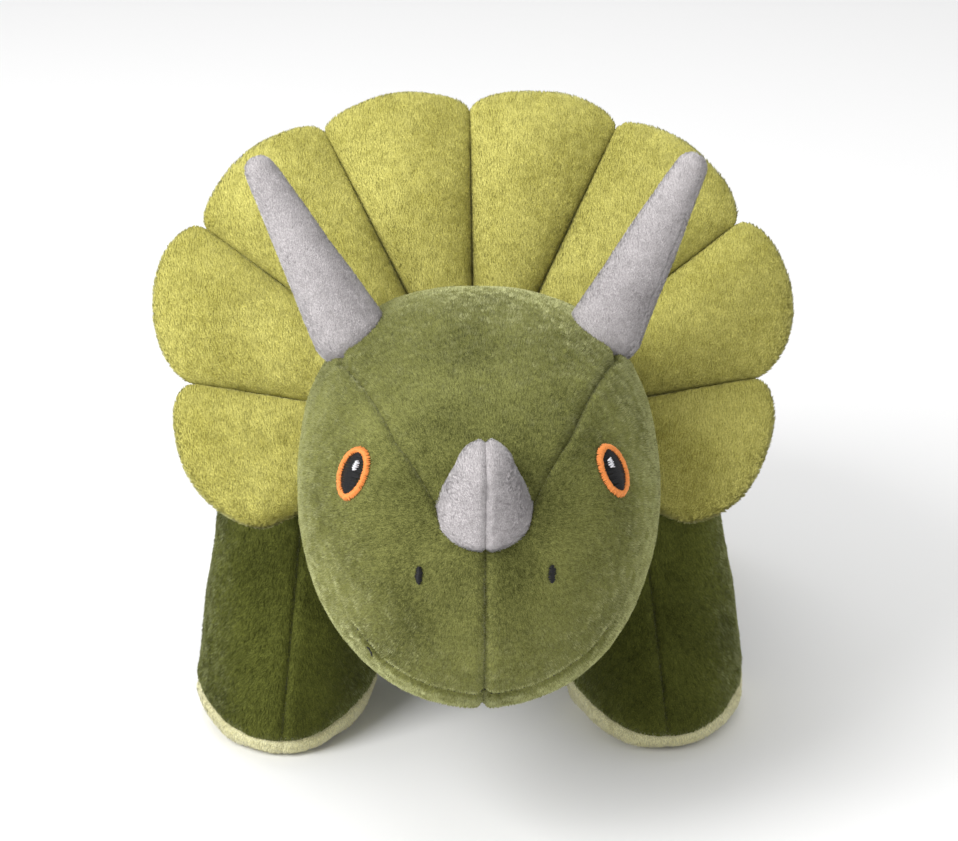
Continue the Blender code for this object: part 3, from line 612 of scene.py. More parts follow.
# Embroidery: eyes, nostrils and mouth are satin and back stitches of cotton thread, worked into
# the cloth before the head is stuffed. The pile is trimmed away underneath them.
EYE_PLACE = (0.655, -0.415, 0.63)
EYE_HALF = np.array([7.4, 9.5]) * MM
EYE_RING = 2.3 * MM
EYE_LEAN = math.radians(-5)
GLINT_HALF = np.array([1.3, 1.8]) * MM
NOSTRIL_PLACE = (0.32, -0.875, 0.36)
NOSTRIL_HALF = np.array([1.35, 3.2]) * MM
THREAD_PITCH, THREAD_RADIUS = 0.3 * MM, 0.2 * MM
ABOVE_SKIN, PATCH_REACH = 12 * MM, 22 * MM
ORANGE, BLACK, WHITE = (0.86, 0.26, 0.06), (0.004, 0.004, 0.005), (0.60, 0.60, 0.63)


def thread_nodes():
    """Threads: each chain of edges becomes a round thread whose ends dive into the cloth."""
    tree, given, out = new_tree(
        "threads",
        "GeometryNodeTree",
        [
            ("Lines", "Geometry", None), ("Thread radius", "Float", 0.0003),
            ("Thread", "Material", None),
        ],
        [("Stitches", "Geometry")],
    )
    lines = node_in(tree, "GeometryNodeMeshToCurve", Mesh=given["Lines"])
    smooth = node_in(tree, "GeometryNodeCurveSplineType", {"spline_type": "CATMULL_ROM"}, Curve=lines)
    fine = node_in(tree, "GeometryNodeResampleCurve", Curve=smooth, Count=6)
    along = tree.nodes.new("GeometryNodeSplineParameter").outputs["Factor"]
    from_middle = maths(tree, "ABSOLUTE", maths(tree, "SUBTRACT", maths(tree, "MULTIPLY", along, 2.0), 1.0))
    taper = maths(tree, "SUBTRACT", 1.0, maths(tree, "MULTIPLY", maths(tree, "POWER", from_middle, 6.0), 0.5))
    radius = maths(tree, "MULTIPLY", given["Thread radius"], taper)
    round_section = node_in(tree, "GeometryNodeCurvePrimitiveCircle", Resolution=6, Radius=1.0)
    tube = node_in(
        tree, "GeometryNodeCurveToMesh", Curve=fine, Profile_Curve=round_section, Scale=radius, Fill_Caps=True
    )
    return end_in_faces(tree, out, tube, given["Thread"])


def thread(name, colour):
    """Shiny cotton thread, a little lighter and darker from strand to strand."""
    material, tree, shader = new_material(name)
    strands = noise_in(tree, 1900.0, Detail=2.0)
    dark, light = (*[v * 0.5 for v in colour], 1.0), (*[min(1.0, v * 1.35) for v in colour], 1.0)
    tones = two_shades(tree, strands, dark, light)
    set_inputs(tree, shader, Base_Color=tones, Roughness=0.5, Specular_IOR_Level=0.3)
    add_relief(tree, shader, strands, 0.4, 0.1 * MM)
    return material


THREADS = thread_nodes()
orange_cotton = thread("orange_cotton", ORANGE)
black_cotton = thread("black_cotton", BLACK)
white_cotton = thread("white_cotton", WHITE)
stitch_draws = np.random.default_rng(7)


def patch_frame(direction, lean=0.0):
    """A place on the head with its right, up and outward ways; lean turns its top to the middle."""
    unit = np.array([direction]) / np.linalg.norm(direction)
    centre, normal, _, _ = head_tree.find_nearest(Vector(head_point(unit)[0]))
    up = Vector((0, 0, 1)) - normal * normal.z
    up.normalize()
    turn = Matrix.Rotation(lean, 3, normal)
    return centre, turn @ up.cross(normal), turn @ up, normal


def on_patch(patch, x, y, lift):
    """The point above the head's skin at (x, y) of a patch."""
    centre, right, up, normal = patch
    above = centre + right * x + up * y + normal * ABOVE_SKIN
    hit = head_tree.ray_cast(above, -normal)[0]
    return (hit or above - normal * ABOVE_SKIN) + normal * lift


def stitched(name, chains, material, radius, node=None):
    """A piece of embroidery on the head: a thread along each chain of points."""
    points, edges = [], []
    for chain in chains:
        edges += [(len(points) + i, len(points) + i + 1) for i in range(len(chain) - 1)]
        points += chain
    mesh = bpy.data.meshes.new(name)
    mesh.from_pydata(points, edges, [])
    piece = run_nodes(add_object(name, mesh), THREADS, {"Thread radius": radius, "Thread": material})
    piece.data.shade_smooth()
    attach(piece, "head")
    if node:
        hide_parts(node)


def satin_ring(patch, half, ring):
    """Stitches side by side across a ring, from its inner edge to its outer edge."""
    girth = math.pi * (3 * half.sum() - math.sqrt((3 * half[0] + half[1]) * (half[0] + 3 * half[1])))
    count = int(girth / THREAD_PITCH)
    chains = []
    for turn in np.arange(2 * count) / count * 2 * math.pi:
        way = np.array([math.cos(turn), math.sin(turn)])
        ragged_in, ragged_out, slant = stitch_draws.uniform(-0.4, 0.4, 3) * MM
        ends = (half - ring + ragged_in) * way, (half + ragged_out) * way
        aside = np.array([-way[1], way[0]]) * slant
        places = (ends[0] - aside, (ends[0] + ends[1]) / 2, ends[1] + aside)
        chains.append([on_patch(patch, *p, lift) for p, lift in zip(places, (0.5 * MM, 1.35 * MM, 0.4 * MM))])
    return chains


def satin_fill(patch, half, lift, shift=(0.0, 0.0)):
    """Level stitches side by side that fill an oval."""
    chains = []
    for y in np.arange(-half[1] + THREAD_PITCH / 2, half[1], THREAD_PITCH):
        reach = half[0] * math.sqrt(1 - (y / half[1]) ** 2)
        if reach < THREAD_PITCH:
            continue
        slip, tilt = stitch_draws.uniform(-0.3, 0.3, 2) * MM
        ends = np.array([[-reach + slip, y - tilt], [slip, y], [reach + slip, y + tilt]]) + shift
        lifts = (lift - 0.4 * MM, lift + 0.3 * MM, lift - 0.4 * MM)
        chains.append([on_patch(patch, *p, up) for p, up in zip(ends, lifts)])
    return chains


trimmed = []
for side_name, side in (("left", 1), ("right", -1)):
    eye = patch_frame((side * EYE_PLACE[0], *EYE_PLACE[1:]), side * EYE_LEAN)
    pupil_half = EYE_HALF - EYE_RING
    glint_shift = np.array([-side * 0.32 * pupil_half[0], 0.38 * pupil_half[1]])
    nostril = patch_frame((side * NOSTRIL_PLACE[0], *NOSTRIL_PLACE[1:]))
    for part_name, chains, material, radius in (
        ("eye_ring", satin_ring(eye, EYE_HALF, EYE_RING), orange_cotton, THREAD_RADIUS),
        ("eye_pupil", satin_fill(eye, pupil_half + 0.3 * MM, 1.0 * MM), black_cotton, THREAD_RADIUS),
        ("eye_glint", satin_fill(eye, GLINT_HALF, 1.7 * MM, glint_shift), white_cotton, THREAD_RADIUS),
        ("nostril", satin_fill(nostril, NOSTRIL_HALF, 0.9 * MM), black_cotton, 0.24 * MM),
    ):
        node = f"{side_name}_{part_name}"
        stitched(node + "_stitches", chains, material, radius, node)
    trimmed += [(eye, EYE_HALF + 0.1 * MM), (nostril, NOSTRIL_HALF - 0.1 * MM)]


def trimmed_pile(points):
    """Nothing under the embroidery, where the head has no pile, and the full pile away from it."""
    from_mouth = np.abs(mouth_field(points)) / MM + 9 * (1 - on_mouth(points) / MOUTH_GROOVE)
    room = np.clip(from_mouth - 0.1, 0, 1)
    for (centre, right, up, _), half in trimmed:
        away = points - np.array(centre)
        x, y = away @ np.array(right), away @ np.array(up)
        from_middle = np.sqrt((x / half[0]) ** 2 + (y / half[1]) ** 2)
        beyond = (from_middle - 1) * half.min() + 100 * (np.linalg.norm(away, axis=1) > PATCH_REACH)
        room = np.minimum(room, np.clip(0.2 + beyond / (2.0 * MM), 0, 1))
    return room


MOUTH_START = 46 * MM
MOUTH_SWEEP, MOUTH_STITCHES, MOUTH_CORNER = 1.22, 44, -1.02


def mouth_point(turn, lift):
    """The skin point where a way across the mouth's plane leaves the head."""
    start = mouth_middle + mouth_ways[:, 1] * MOUTH_START
    way = -mouth_ways[:, 1] * math.cos(turn) + mouth_ways[:, 0] * math.sin(turn)
    hit, normal, _, _ = head_tree.ray_cast(Vector(start), Vector(way))
    return hit + (normal if normal.dot(Vector(way)) > 0 else -normal) * lift


mouth_turns = np.linspace(-MOUTH_SWEEP, MOUTH_SWEEP, 3 * MOUTH_STITCHES)
mouth_line = [mouth_point(turn, 0.75 * MM) for turn in mouth_turns]
mouth_chains = [mouth_line[i : i + 2] for i in range(0, len(mouth_line), 3)]
stitched("mouth_line_stitches", mouth_chains, black_cotton, THREAD_RADIUS, "mouth_stitch")


def laid_on_head(point, lift):
    """A point near the head brought onto its skin and lifted over the pile."""
    hit, normal, _, _ = head_tree.find_nearest(point)
    outwards = hit - Vector(mouth_middle + mouth_ways[:, 1] * MOUTH_START)
    return hit + (normal if normal.dot(outwards) > 0 else -normal) * lift


corner = mouth_point(MOUTH_CORNER, 1.4 * MM)
down = (mouth_point(MOUTH_CORNER + 0.05, 1.4 * MM) - corner).normalized()
over = Vector(mouth_ways[:, 2])
corner_chains = [
    [corner, corner + (over + down * 0.2) * 1.2 * MM, corner + (over * 2.6 + down * 0.9) * MM],
    [corner, corner - down * 1.0 * MM, corner - (down * 2.0 + over * 0.4) * MM],
    [corner, corner - (over - down * 0.8) * 0.9 * MM, corner - (over * 1.5 - down * 1.6) * MM],
]
corner_chains = [[laid_on_head(point, 2.3 * MM) for point in chain] for chain in corner_chains]
stitched("mouth_corner_stitches", corner_chains, black_cotton, 0.3 * MM)

sew(
    head_form,
    [
        ("forehead_plush", "forehead_panel", inside_gusset & ~inside_chin),
        ("left_cheek_plush", "left_cheek_panel", cheeks & on_left),
        ("right_cheek_plush", "right_cheek_panel", cheeks & ~on_left),
        ("chin_plush", "chin_panel", inside_chin),
    ],
    OLIVE_PLUSH,
    "head",
    hairs=3.3,
    seams=head_seams,
    share=trimmed_pile,
)

# Nose horn: two halves of grey plush with a seam down the middle, stuffed firmly and sewn down
# all round onto the top of the muzzle.
NOSE_HORN_PLACE = np.array([[0.0, -0.71, 0.70]])
NOSE_HORN_AIM = np.array([0.0, -0.12, 0.99])
NOSE_HORN_LENGTH, NOSE_HORN_RADIUS, NOSE_HORN_TIP = 25 * MM, 17 * MM, 10 * MM
NOSE_HORN_SINK = 5 * MM
OUTLINE_STEPS = 240
# dark and light ends of the pile's colour; the span between them is painted sheen and shade of the pile's lay
GREY = ((0.37, 0.345, 0.35), (0.60, 0.565, 0.57))
GREY_PLUSH = plush_pair("grey_plush", GREY, 0.4, clumps=0.7)
GREY_PILE = {"hairs": 5.0, "length": 1.1 * MM, "width": 0.36 * MM, "lay": (0, 0, 1)}


def smooth_outline(corners):
    """A turned outline (radius, height) with its corners cut thrice, in even steps along it."""
    points = np.array(corners, float)
    for _ in range(3):
        cut = np.stack([points[:-1] * 0.75 + points[1:] * 0.25, points[:-1] * 0.25 + points[1:] * 0.75], 1)
        points = np.vstack([points[:1], cut.reshape(-1, 2), points[-1:]])
    steps = np.concatenate([[0], np.cumsum(np.linalg.norm(np.diff(points, axis=0), axis=1))])
    even = np.linspace(0, steps[-1], OUTLINE_STEPS)
    return np.stack([np.interp(even, steps, points[:, 0]), np.interp(even, steps, points[:, 1])], 1)


def turned(directions, outline):
    """Where an outline turned about Z puts directions: radius, height and the way outwards."""
    share = np.arccos(np.clip(directions[:, 2], -1, 1)) / math.pi * (len(outline) - 1)
    radius = np.interp(share, range(len(outline)), outline[:, 0])
    height = np.interp(share, range(len(outline)), outline[:, 1])
    around = directions[:, :2] / np.maximum(np.linalg.norm(directions[:, :2], axis=1), 1e-9)[:, None]
    return radius, height, around


def turned_points(directions, outline, turn, root):
    """The points of a turned piece whose axis is turned and whose bottom is set at its root."""
    radius, height, around = turned(directions, outline)
    local = np.column_stack([around * radius[:, None], height])
    return local @ turn.T + root


def horn_outline(length, radius, tip, bottom_depth=1.0):
    """A cone with a round tip on a round bottom, whose depth is a share of its radius."""
    turns = np.linspace(0, math.pi / 2, 9)
    top = [(tip * math.sin(turn), length - tip + tip * math.cos(turn)) for turn in turns]
    bottom = [(radius * math.cos(turn), -radius * bottom_depth * math.sin(turn)) for turn in turns]
    return smooth_outline(top + bottom)


def aimed(direction):
    """A turn whose Z follows a direction and whose X stays level."""
    z_axis = direction / np.linalg.norm(direction)
    x_axis = np.cross([0.0, -1.0, 0.0], z_axis)
    x_axis /= np.linalg.norm(x_axis)
    return np.stack([x_axis, np.cross(z_axis, x_axis), z_axis], 1)


def head_normal_at(place):
    """The head's outward normal at a direction, from two short steps across its skin."""
    unit = place[0] / np.linalg.norm(place[0])
    across = np.cross(unit, [0.3, 0.2, 0.9])
    along = np.cross(unit, across)
    ends = np.array([unit + across * 0.02, unit - across * 0.02, unit + along * 0.02, unit - along * 0.02])
    points = head_point(unit_rows(ends))
    normal = np.cross(points[0] - points[1], points[2] - points[3])
    normal *= np.sign(normal @ (points[0] - HEAD_CENTRE)) / np.linalg.norm(normal)
    return normal


nose_root = head_point(unit_rows(NOSE_HORN_PLACE))[0] - head_normal_at(NOSE_HORN_PLACE) * NOSE_HORN_SINK
nose_turn = aimed(turn_about_x(HEAD_PITCH) @ NOSE_HORN_AIM)
nose_outline = horn_outline(NOSE_HORN_LENGTH + NOSE_HORN_SINK, NOSE_HORN_RADIUS, NOSE_HORN_TIP, 0.55)
nose_form = even_ball(
    "nose_horn_form", 30, lambda ways: turned_points(ways, nose_outline, nose_turn, nose_root)
)
nose_seams = [(middle_field, everywhere)]
sink_seams(nose_form, nose_seams, depth=0.9 * MM, width=1.3 * MM, stuffing=0.7 * MM)
(nose_left,) = sides_of(nose_form, [middle_field])
sew(
    nose_form,
    left_and_right("nose_horn", nose_left, ~nose_left),
    GREY_PLUSH,
    "head",
    seams=nose_seams,
    **GREY_PILE,
)

# Brow horns: each is a long tapered tube of grey plush with one seam, stuffed and sewn into the
# ends of the forehead gusset, where it bends a little.
BROW_HORN_LENGTH, BROW_HORN_RADIUS, BROW_HORN_TIP = 71 * MM, 13.6 * MM, 5.5 * MM
BROW_HORN_AIM = np.array([0.47, 0.16, 0.87])
BEND_LENGTH = 20 * MM
brow_outline = horn_outline(BROW_HORN_LENGTH, BROW_HORN_RADIUS, BROW_HORN_TIP)

for side_name, side in (("left", 1), ("right", -1)):
    horn = side_name + "_brow_horn"
    root = pivots[horn]
    horn_turn = aimed(BROW_HORN_AIM * (side, 1, 1))
    seam_way = horn_turn @ np.array([math.cos(0.9), side * math.sin(0.9), 0.0])

    def brow_horn_point(directions):
        return turned_points(directions, brow_outline, horn_turn, root)

    def horn_seam(points):
        return (points - root) @ seam_way

    def on_horn_front(points):
        return 0.7 * (((points - root) @ np.cross(seam_way, horn_turn[:, 2])) * side < 0)

    bends[horn] = ("head", root, root + horn_turn[:, 2] * BEND_LENGTH)
    horn_form = even_ball(horn + "_form", 34, brow_horn_point)
    horn_seams = [(horn_seam, on_horn_front)]
    sink_seams(horn_form, horn_seams, depth=0.7 * MM, width=1.0 * MM, stuffing=0.6 * MM)
    sew(
        horn_form,
        [(horn + "_plush", horn + "_cover", all_faces(horn_form))],
        GREY_PLUSH,
        horn,
        seams=horn_seams,
        **GREY_PILE,
    )

# Frill: two sheets of lime plush sewn together round the rim and along seven spokes, with the
# eight lobes between them stuffed, and the whole fan stitched to the back of the head.
FRILL_CENTRE = HEAD_CENTRE + np.array([0, 53, 5.5]) * MM
FRILL_TURN = turn_about_x(-math.radians(30))
FRILL_EDGES = np.radians([0, 25.5, 52, 80, 115])
FRILL_SEAM_RADII = np.array([125, 130, 128, 107, 84]) * MM
FRILL_LOBE_RADII = np.array([136, 139, 133, 110]) * MM
FRILL_PUFF, FRILL_SEAM_HALF = 10.5 * MM, 1.5 * MM
FRILL_BITE, FRILL_PUFF_ROOM = 3.5 * MM, 10 * MM
NECK_CLEAR, FAR_OUT = 41 * MM, 0.4
LOBE_STEPS, REACH_STEPS = 30, 56
# dark and light ends of the pile's colour; the span between them is painted sheen and shade of the pile's lay
LIME = ((0.33, 0.30, 0.058), (0.66, 0.615, 0.175))
LIME_PLUSH = plush_pair("lime_plush", LIME, 0.4, clump_size=3.0 * MM, clumps=0.9)


def frill_lobe(angles):
    """The lobe that each angle is in, counted from the top, and the share of the way across it."""
    turn = np.minimum(np.abs(angles), FRILL_EDGES[-1] - 1e-9)
    lobe = np.searchsorted(FRILL_EDGES, turn, side="right") - 1
    return lobe, (turn - FRILL_EDGES[lobe]) / (FRILL_EDGES[lobe + 1] - FRILL_EDGES[lobe])


def frill_rim(angles):
    lobe, share = frill_lobe(angles)
    ends = FRILL_SEAM_RADII[lobe], FRILL_SEAM_RADII[lobe + 1]
    arch = np.sqrt(np.maximum(0, 4 * share * (1 - share)))
    return ends[0] + (ends[1] - ends[0]) * share + (FRILL_LOBE_RADII[lobe] - sum(ends) / 2) * arch


def frill_half(angles, reach):
    """Half the thickness: nothing at the rim, a thin seam at the spokes and full in each lobe."""
    _, share = frill_lobe(angles)
    across = np.sqrt(np.maximum(0, 4 * share * (1 - share)))
    outwards = np.sqrt(np.maximum(0, 1 - reach**5))
    to_end = np.sqrt(np.clip((FRILL_EDGES[-1] - np.abs(angles)) / math.radians(2), 0, 1))
    return (FRILL_SEAM_HALF * to_end + FRILL_PUFF * across) * outwards


def frill_seat(angle):
    """The radius where the fan goes into the head, clear of the neck through its thickness."""
    outward = FRILL_TURN @ np.array([math.sin(angle), 0.0, math.cos(angle)])
    seats = []
    for height in (-FRILL_PUFF_ROOM, 0.0, FRILL_PUFF_ROOM):
        start = FRILL_CENTRE + FRILL_TURN @ np.array([0.0, height, 0.0])
        far = start + outward * FAR_OUT
        hit = head_tree.ray_cast(Vector(far), Vector(-outward))
        along = (pivots["neck"] - start) @ outward
        aside = np.linalg.norm(pivots["neck"] - start - outward * along)
        from_neck = along + math.sqrt(NECK_CLEAR**2 - aside**2) if aside < NECK_CLEAR else 0.0
        seats.append(max(FAR_OUT - hit[3] - FRILL_BITE if hit[0] else 0.0, from_neck))
    return min(seats[1], max(seats)) if seats[1] else max(seats)


def frill_sheet(name, facing):
    """One sheet of the fan; facing is -1 for the front and 1 for the back."""
    shares = (1 - np.cos(np.linspace(0, math.pi, LOBE_STEPS + 1))) / 2
    half_fan = [
        start + (end - start) * share
        for start, end in zip(FRILL_EDGES[:-1], FRILL_EDGES[1:])
        for share in shares[:-1]
    ] + [FRILL_EDGES[-1]]
    angles = np.array([-angle for angle in half_fan[:0:-1]] + half_fan)
    seats = np.array([frill_seat(angle) for angle in angles])
    reaches = 1 - (1 - np.linspace(0, 1, REACH_STEPS + 1)) ** 1.8
    angle, reach = [grid.ravel() for grid in np.meshgrid(angles, reaches, indexing="ij")]
    seat = np.repeat(seats, len(reaches))
    rim = frill_rim(angle)
    radius = seat + (rim - seat) * reach
    height = facing * frill_half(angle, reach)
    local = np.stack([radius * np.sin(angle), height, radius * np.cos(angle)], 1)
    _, share = frill_lobe(angle)
    beside = np.exp(-((np.minimum(share, 1 - share) * radius * 0.47 / (5 * MM)) ** 2))
    loose = np.sqrt(np.maximum(0, 1 - reach**6))
    wrinkles = lumps(local * (1, 0, 1), 6 * MM, 3.0 + facing) * 0.7 * MM * beside
    dents = lumps(local * (1, 0, 1), 26 * MM, 5.0 + facing) * 1.6 * MM * (1 - beside)
    local[:, 1] += facing * (wrinkles + dents) * loose
    wave = lumps(np.stack([np.sin(angle), np.cos(angle), 0 * angle], 1) * 0.12, 21 * MM, 8.0)
    radial = np.stack([np.sin(angle), 0 * angle, np.cos(angle)], 1)
    local += radial * (wave * 1.6 * MM * reach**3)[:, None]
    points = local @ FRILL_TURN.T + FRILL_CENTRE
    columns, rows = len(angles), len(reaches)
    index = np.arange(columns * rows).reshape(columns, rows)
    corners = np.stack([index[:-1, :-1], index[1:, :-1], index[1:, 1:], index[:-1, 1:]], -1).reshape(-1, 4)
    mesh = bpy.data.meshes.new(name)
    mesh.from_pydata(points.tolist(), [], (corners if facing > 0 else corners[:, ::-1]).tolist())
    mesh.update()
    mean_normal = get_vectors(mesh.polygons, "normal").mean(0) @ FRILL_TURN[:, 1]
    if mean_normal * facing < 0:
        mesh.flip_normals()
    mesh.shade_smooth()
    return mesh


def from_spokes(points, _):
    """Shorter pile along the spokes."""
    local = (points - FRILL_CENTRE) @ FRILL_TURN
    angle = np.arctan2(local[:, 0], local[:, 2])
    radius = np.hypot(local[:, 0], local[:, 2])
    away = np.abs(np.abs(angle)[:, None] - FRILL_EDGES[None, :-1]).min(1) * radius
    return 1 - 0.6 * np.exp(-((away / (1.3 * MM)) ** 2))


for face_name, facing, hairs, width in (("front", -1, 3.2, 0.55), ("back", 1, 1.8, 0.75)):
    name = f"frill_{face_name}_plush"
    skin = frill_sheet(name, facing)
    sheet = add_object(name, skin)
    frill_pile = grow_pile(
        name + "_pile", skin, LIME_PLUSH[1], hairs, from_spokes, width=width * MM, lay=(0, 0, 1)
    )
    finish_panel(sheet, frill_pile, LIME_PLUSH[0], f"frill_{face_name}_panel", "head")

# Neck: a short stuffed tube of olive plush, painted darker for shade, round at both ends, that
# lets the head nod and turn between its cups in the torso and the head.
NECK_RADIUS = 39.5 * MM
# the head's olive plush painted darker, as shade on the neck, torso, legs and tail
SHADED_OLIVE = ((0.034, 0.039, 0.005), (0.124, 0.137, 0.022))
SHADED_OLIVE_PLUSH = plush_pair("dark_olive_plush", SHADED_OLIVE, 0.8, clump_size=2.2 * MM, clumps=0.9)
neck_form = even_ball("neck_form", 26, lambda ways: ways * NECK_RADIUS + pivots["neck"])
sew(
    neck_form,
    [("neck_plush", "neck_cover", all_faces(neck_form))],
    SHADED_OLIVE_PLUSH,
    "neck",
    hairs=1.2,
    width=0.8 * MM,
)

# Torso: two sides and a belly of olive plush, painted darker for shade, sewn along the back and
# the belly's edges and stuffed into a loaf.
TORSO_SIZE = np.array([190, 212, 130]) * MM
TORSO_CENTRE = pivots["left_front_leg"] * (0, 0, 1) + np.array([0, 34.5, 37]) * MM
TORSO_BOXINESS = 0.82
BELLY_DROP = 34 * MM
CHEST_PRESS = 0.045


def torso_point(directions):
    """The loaf's skin; its front is pressed in by the head."""
    local = bend_power(directions, TORSO_BOXINESS) * TORSO_SIZE / 2
    local[:, 1] *= 1 - CHEST_PRESS * np.clip(-directions[:, 1], 0, 1) ** 0.5
    return local + TORSO_CENTRE


def belly_field(points):
    return TORSO_CENTRE[2] - BELLY_DROP - points[:, 2]


def above_belly(points):
    return 1.0 * (points[:, 2] > TORSO_CENTRE[2])


torso_form = even_ball("torso_form", 58, torso_point)
torso_seams = [(middle_field, above_belly), (belly_field, everywhere)]
sink_seams(torso_form, torso_seams, depth=1.5 * MM, width=2.0 * MM, stuffing=1.3 * MM)
on_left, on_belly = sides_of(torso_form, [middle_field, belly_field])
sew(
    torso_form,
    [
        *left_and_right("torso", on_left & ~on_belly, ~on_left & ~on_belly),
        ("belly_plush", "belly_panel", on_belly),
    ],
    SHADED_OLIVE_PLUSH,
    "torso",
    hairs=1.3,
    seams=torso_seams,
    width=0.8 * MM,
    length=2.2 * MM,
)

# Legs: each has an outer and an inner half of olive plush, painted darker for shade, that meet in
# front and behind, and a cream sole. The top is sewn into the torso, and the leg bends below it.
LEG_RADIUS = 32 * MM
FOOT_FORWARD, FOOT_SPLAY, FOOT_WIDENING, FOOT_ROUND = 26 * MM, 8 * MM, 3 * MM, 9 * MM
SOLE_RISE_FRONT, SOLE_RISE_BACK, SOLE_RISE_SIDE = 9 * MM, 5 * MM, 8 * MM
LEG_BEND = 40 * MM
# dark and light ends of the pile's colour; the span between them is painted sheen and shade of the pile's lay
CREAM = ((0.62, 0.58, 0.30), (0.82, 0.79, 0.50))
CREAM_PLUSH = plush_pair("cream_plush", CREAM, 0.3)


def ease(share):
    return share * share * (3 - 2 * share)


for leg in ("left_front_leg", "right_front_leg", "left_rear_leg", "right_rear_leg"):
    hip = pivots[leg]
    side = 1 if hip[0] > 0 else -1
    in_front = "front" in leg
    foot = LEG_RADIUS + FOOT_WIDENING
    turns = np.linspace(0, math.pi / 2, 9)
    ball = [(LEG_RADIUS * math.sin(turn), hip[2] + LEG_RADIUS * math.cos(turn)) for turn in turns]
    shares = np.linspace(0, 1, 9)[1:]
    shaft = [
        (LEG_RADIUS + ease(share) * FOOT_WIDENING, hip[2] + (FOOT_ROUND - hip[2]) * share)
        for share in shares
    ]
    leg_outline = smooth_outline(ball + shaft + [(0.96 * foot, 2.5 * MM), (0.84 * foot, 0), (0, 0)])

    def share_down(heights):
        return np.clip((hip[2] - heights) / (hip[2] - FOOT_ROUND), 0, 1)

    def leg_point(directions):
        radius, height, around = turned(directions, leg_outline)
        share = share_down(height)
        forward = ease(share) * FOOT_FORWARD * radius / foot * (around[:, 1] < 0)
        x = hip[0] + side * share * FOOT_SPLAY + radius * around[:, 0]
        return np.stack([x, hip[1] + (radius + forward) * around[:, 1], height], 1)

    def leg_seam(points):
        return points[:, 0] - hip[0] - side * share_down(points[:, 2]) * FOOT_SPLAY

    def sole_field(points):
        back = (points[:, 1] - (hip[1] - LEG_RADIUS - FOOT_FORWARD)) / (2 * LEG_RADIUS + FOOT_FORWARD)
        aside = (points[:, 0] - hip[0] - side * FOOT_SPLAY) / foot
        rise = SOLE_RISE_FRONT + (SOLE_RISE_BACK - SOLE_RISE_FRONT) * back
        return rise + SOLE_RISE_SIDE * (aside**2 - 0.2) - points[:, 2]

    def above_sole(points):
        return 1 / (1 + np.exp(sole_field(points) / (2 * MM)))

    bends[leg] = ("torso", hip, hip - np.array([0, 0, LEG_BEND]))
    leg_form = even_ball(leg + "_form", 38 if in_front else 32, leg_point)
    leg_seams = [(leg_seam, above_sole), (sole_field, everywhere)]
    flat = get_vectors(leg_form.vertices, "co")[:, 2] < 0.3 * MM
    sink_seams(leg_form, leg_seams, depth=1.5 * MM, width=1.6 * MM, stuffing=2.0 * MM)
    points = get_vectors(leg_form.vertices, "co")
    points[flat, 2] = 0
    points[:, 2] = np.maximum(points[:, 2], 0)
    set_points(leg_form, points)
    on_positive, on_sole = sides_of(leg_form, [leg_seam, sole_field])
    on_outer = on_positive if side > 0 else ~on_positive
    hairs, width = (3.0, 0.52 * MM) if in_front else (1.4, 0.75 * MM)
    leg_pile = {"hairs": hairs, "width": width, "lay": (0, 0, -1), "seams": leg_seams}
    sew(
        leg_form,
        [
            (leg + "_outer_plush", leg + "_outer_panel", on_outer & ~on_sole),
            (leg + "_inner_plush", leg + "_inner_panel", ~on_outer & ~on_sole),
        ],
        SHADED_OLIVE_PLUSH,
        leg,
        length=1.8 * MM,
        **leg_pile,
    )
    sew(
        leg_form,
        [(leg + "_sole_plush", leg + "_sole", on_sole)],
        CREAM_PLUSH,
        leg,
        share=lambda points: np.where(points[:, 2] < 1 * MM, 0.0, 0.8),
        **leg_pile,
    )

# Tail: two halves of olive plush, painted darker for shade, sewn together above and below,
# stuffed, and sewn to the rump, where it bends. It droops and sags a little.
TAIL_LENGTH, TAIL_RADIUS, TAIL_TIP = 143 * MM, 36 * MM, 9 * MM
TAIL_DROOP, TAIL_SAG = math.radians(21), 8 * MM
TAIL_BEND = 45 * MM
tail_outline = horn_outline(TAIL_LENGTH, TAIL_RADIUS, TAIL_TIP)
tail_aim = np.array([0.0, math.cos(TAIL_DROOP), -math.sin(TAIL_DROOP)])
tail_turn = aimed(tail_aim)


def tail_point(directions):
    points = turned_points(directions, tail_outline, tail_turn, pivots["tail"])
    height = turned(directions, tail_outline)[1]
    points[:, 2] -= TAIL_SAG * (np.maximum(0, height) / TAIL_LENGTH) ** 2
    return points


bends["tail"] = ("torso", pivots["tail"], pivots["tail"] + tail_aim * TAIL_BEND)
tail_form = even_ball("tail_form", 34, tail_point)
tail_seams = [(middle_field, everywhere)]
sink_seams(tail_form, tail_seams, depth=1.4 * MM, width=1.7 * MM, stuffing=1.2 * MM)
(on_left,) = sides_of(tail_form, [middle_field])
sew(
    tail_form,
    left_and_right("tail", on_left, ~on_left),
    SHADED_OLIVE_PLUSH,
    "tail",
    hairs=1.5,
    seams=tail_seams,
    width=0.8 * MM,
    length=2.2 * MM,
)

# Fillings: loose polyester wool in every part, a little smaller than its cover and lumpy, as it
# comes from the bag.
FILLING_ROOM = 1.8 * MM
FILLING_ROOMS = {"frill": 0.5 * MM, "torso": 6.5 * MM, "head": 2.6 * MM}
FILLING_VOXEL = 3.2 * MM
FILLING_SHRINK = 0.97


def wool():
    material, tree, shader = new_material("polyester_wool")
    fibres = noise_in(tree, 700.0, Detail=4.0, Distortion=1.2)
    tones = two_shades(tree, fibres, (0.70, 0.70, 0.68, 1.0), (0.92, 0.92, 0.90, 1.0))
    set_inputs(tree, shader, Base_Color=tones, Roughness=0.95, Sheen_Weight=0.3)
    add_relief(tree, shader, fibres, 0.6, 0.8 * MM)
    return material


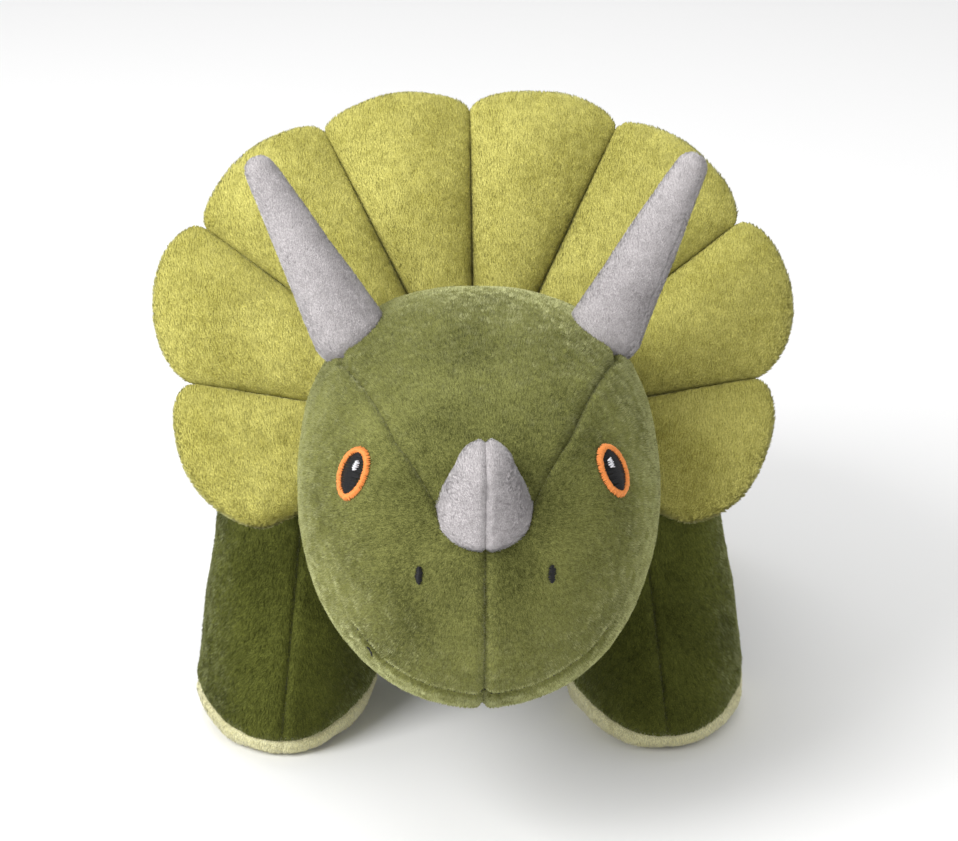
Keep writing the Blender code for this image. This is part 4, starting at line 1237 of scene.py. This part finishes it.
polyester_wool = wool()
for node in [name for name in frame["nodes"] if "_stuffing" in name]:
    bm = bmesh.new()
    bm.from_mesh(bpy.data.objects[node].data)
    bmesh.ops.remove_doubles(bm, verts=bm.verts, dist=0.01 * MM)
    name = node.replace("stuffing", "filling")
    filling = add_object(name, kept_mesh(name, bm))
    evened = filling.modifiers.new("evened", "REMESH")
    evened.mode = "VOXEL"
    evened.voxel_size = FILLING_VOXEL
    applied(filling)
    filling.data.shade_smooth()
    points, normals = points_of(filling.data)
    room = FILLING_ROOMS.get(node.split("_")[0], FILLING_ROOM)
    move = room * (lumps(points, 12 * MM, 2.0) * 0.6 - 1)
    centre = points.mean(axis=0)
    set_points(filling.data, centre + (points + normals * move[:, None] - centre) * FILLING_SHRINK)
    filling.data.materials.clear()
    filling.data.materials.append(polyester_wool)
    hang_on(filling, frame["nodes"][node]["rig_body"])
    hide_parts(node)

# Stage: a pale floor, a soft key light from the upper left, a wide fill, a light from above and
# behind, and a camera a little above the nose.
CAMERA_TARGET = Vector((0.003, -0.061, 0.122))
CAMERA_DISTANCE = 1.25
CAMERA_AZIMUTH, CAMERA_ELEVATION = -1.7, 19
CAMERA_LENS = 119.76


def aimed_object(name, data, azimuth, elevation, distance):
    """A camera or light that looks at the toy from an azimuth and elevation in degrees."""
    turn, rise = math.radians(azimuth), math.radians(elevation)
    way = Vector((math.sin(turn) * math.cos(rise), -math.cos(turn) * math.cos(rise), math.sin(rise)))
    obj = add_object(name, data)
    obj.location = CAMERA_TARGET + way * distance
    obj.rotation_mode = "QUATERNION"
    obj.rotation_quaternion = (CAMERA_TARGET - obj.location).to_track_quat("-Z", "Y")
    return obj


camera_data = bpy.data.cameras.new("camera")
camera_data.lens = CAMERA_LENS
bpy.context.scene.camera = aimed_object(
    "camera", camera_data, CAMERA_AZIMUTH, CAMERA_ELEVATION, CAMERA_DISTANCE
)


def area_light(name, azimuth, elevation, distance, size, watts):
    light = bpy.data.lights.new(name, "AREA")
    light.size = size
    light.energy = watts
    aimed_object(name, light, azimuth, elevation, distance)


area_light("key", -50, 34, 1.6, 0.9, 26)
area_light("fill", 50, 15, 1.8, 1.4, 4)
area_light("top", -160, 60, 1.7, 1.2, 8)

world = bpy.data.worlds.new("studio")
world.use_nodes = True
sky = world.node_tree.nodes["Background"]
set_inputs(world.node_tree, sky, Color=(1.0, 1.0, 1.0, 1.0), Strength=0.72)
bpy.context.scene.world = world
bpy.context.scene.view_settings.view_transform = "Standard"

bm = bmesh.new()
bmesh.ops.create_grid(bm, x_segments=1, y_segments=1, size=8.0)
floor = add_object("floor", kept_mesh("floor", bm))
floor_paint, floor_tree, floor_shader = new_material("pale_floor")
set_inputs(floor_tree, floor_shader, Base_Color=(0.9, 0.9, 0.9, 1.0), Roughness=0.7)
floor.data.materials.append(floor_paint)
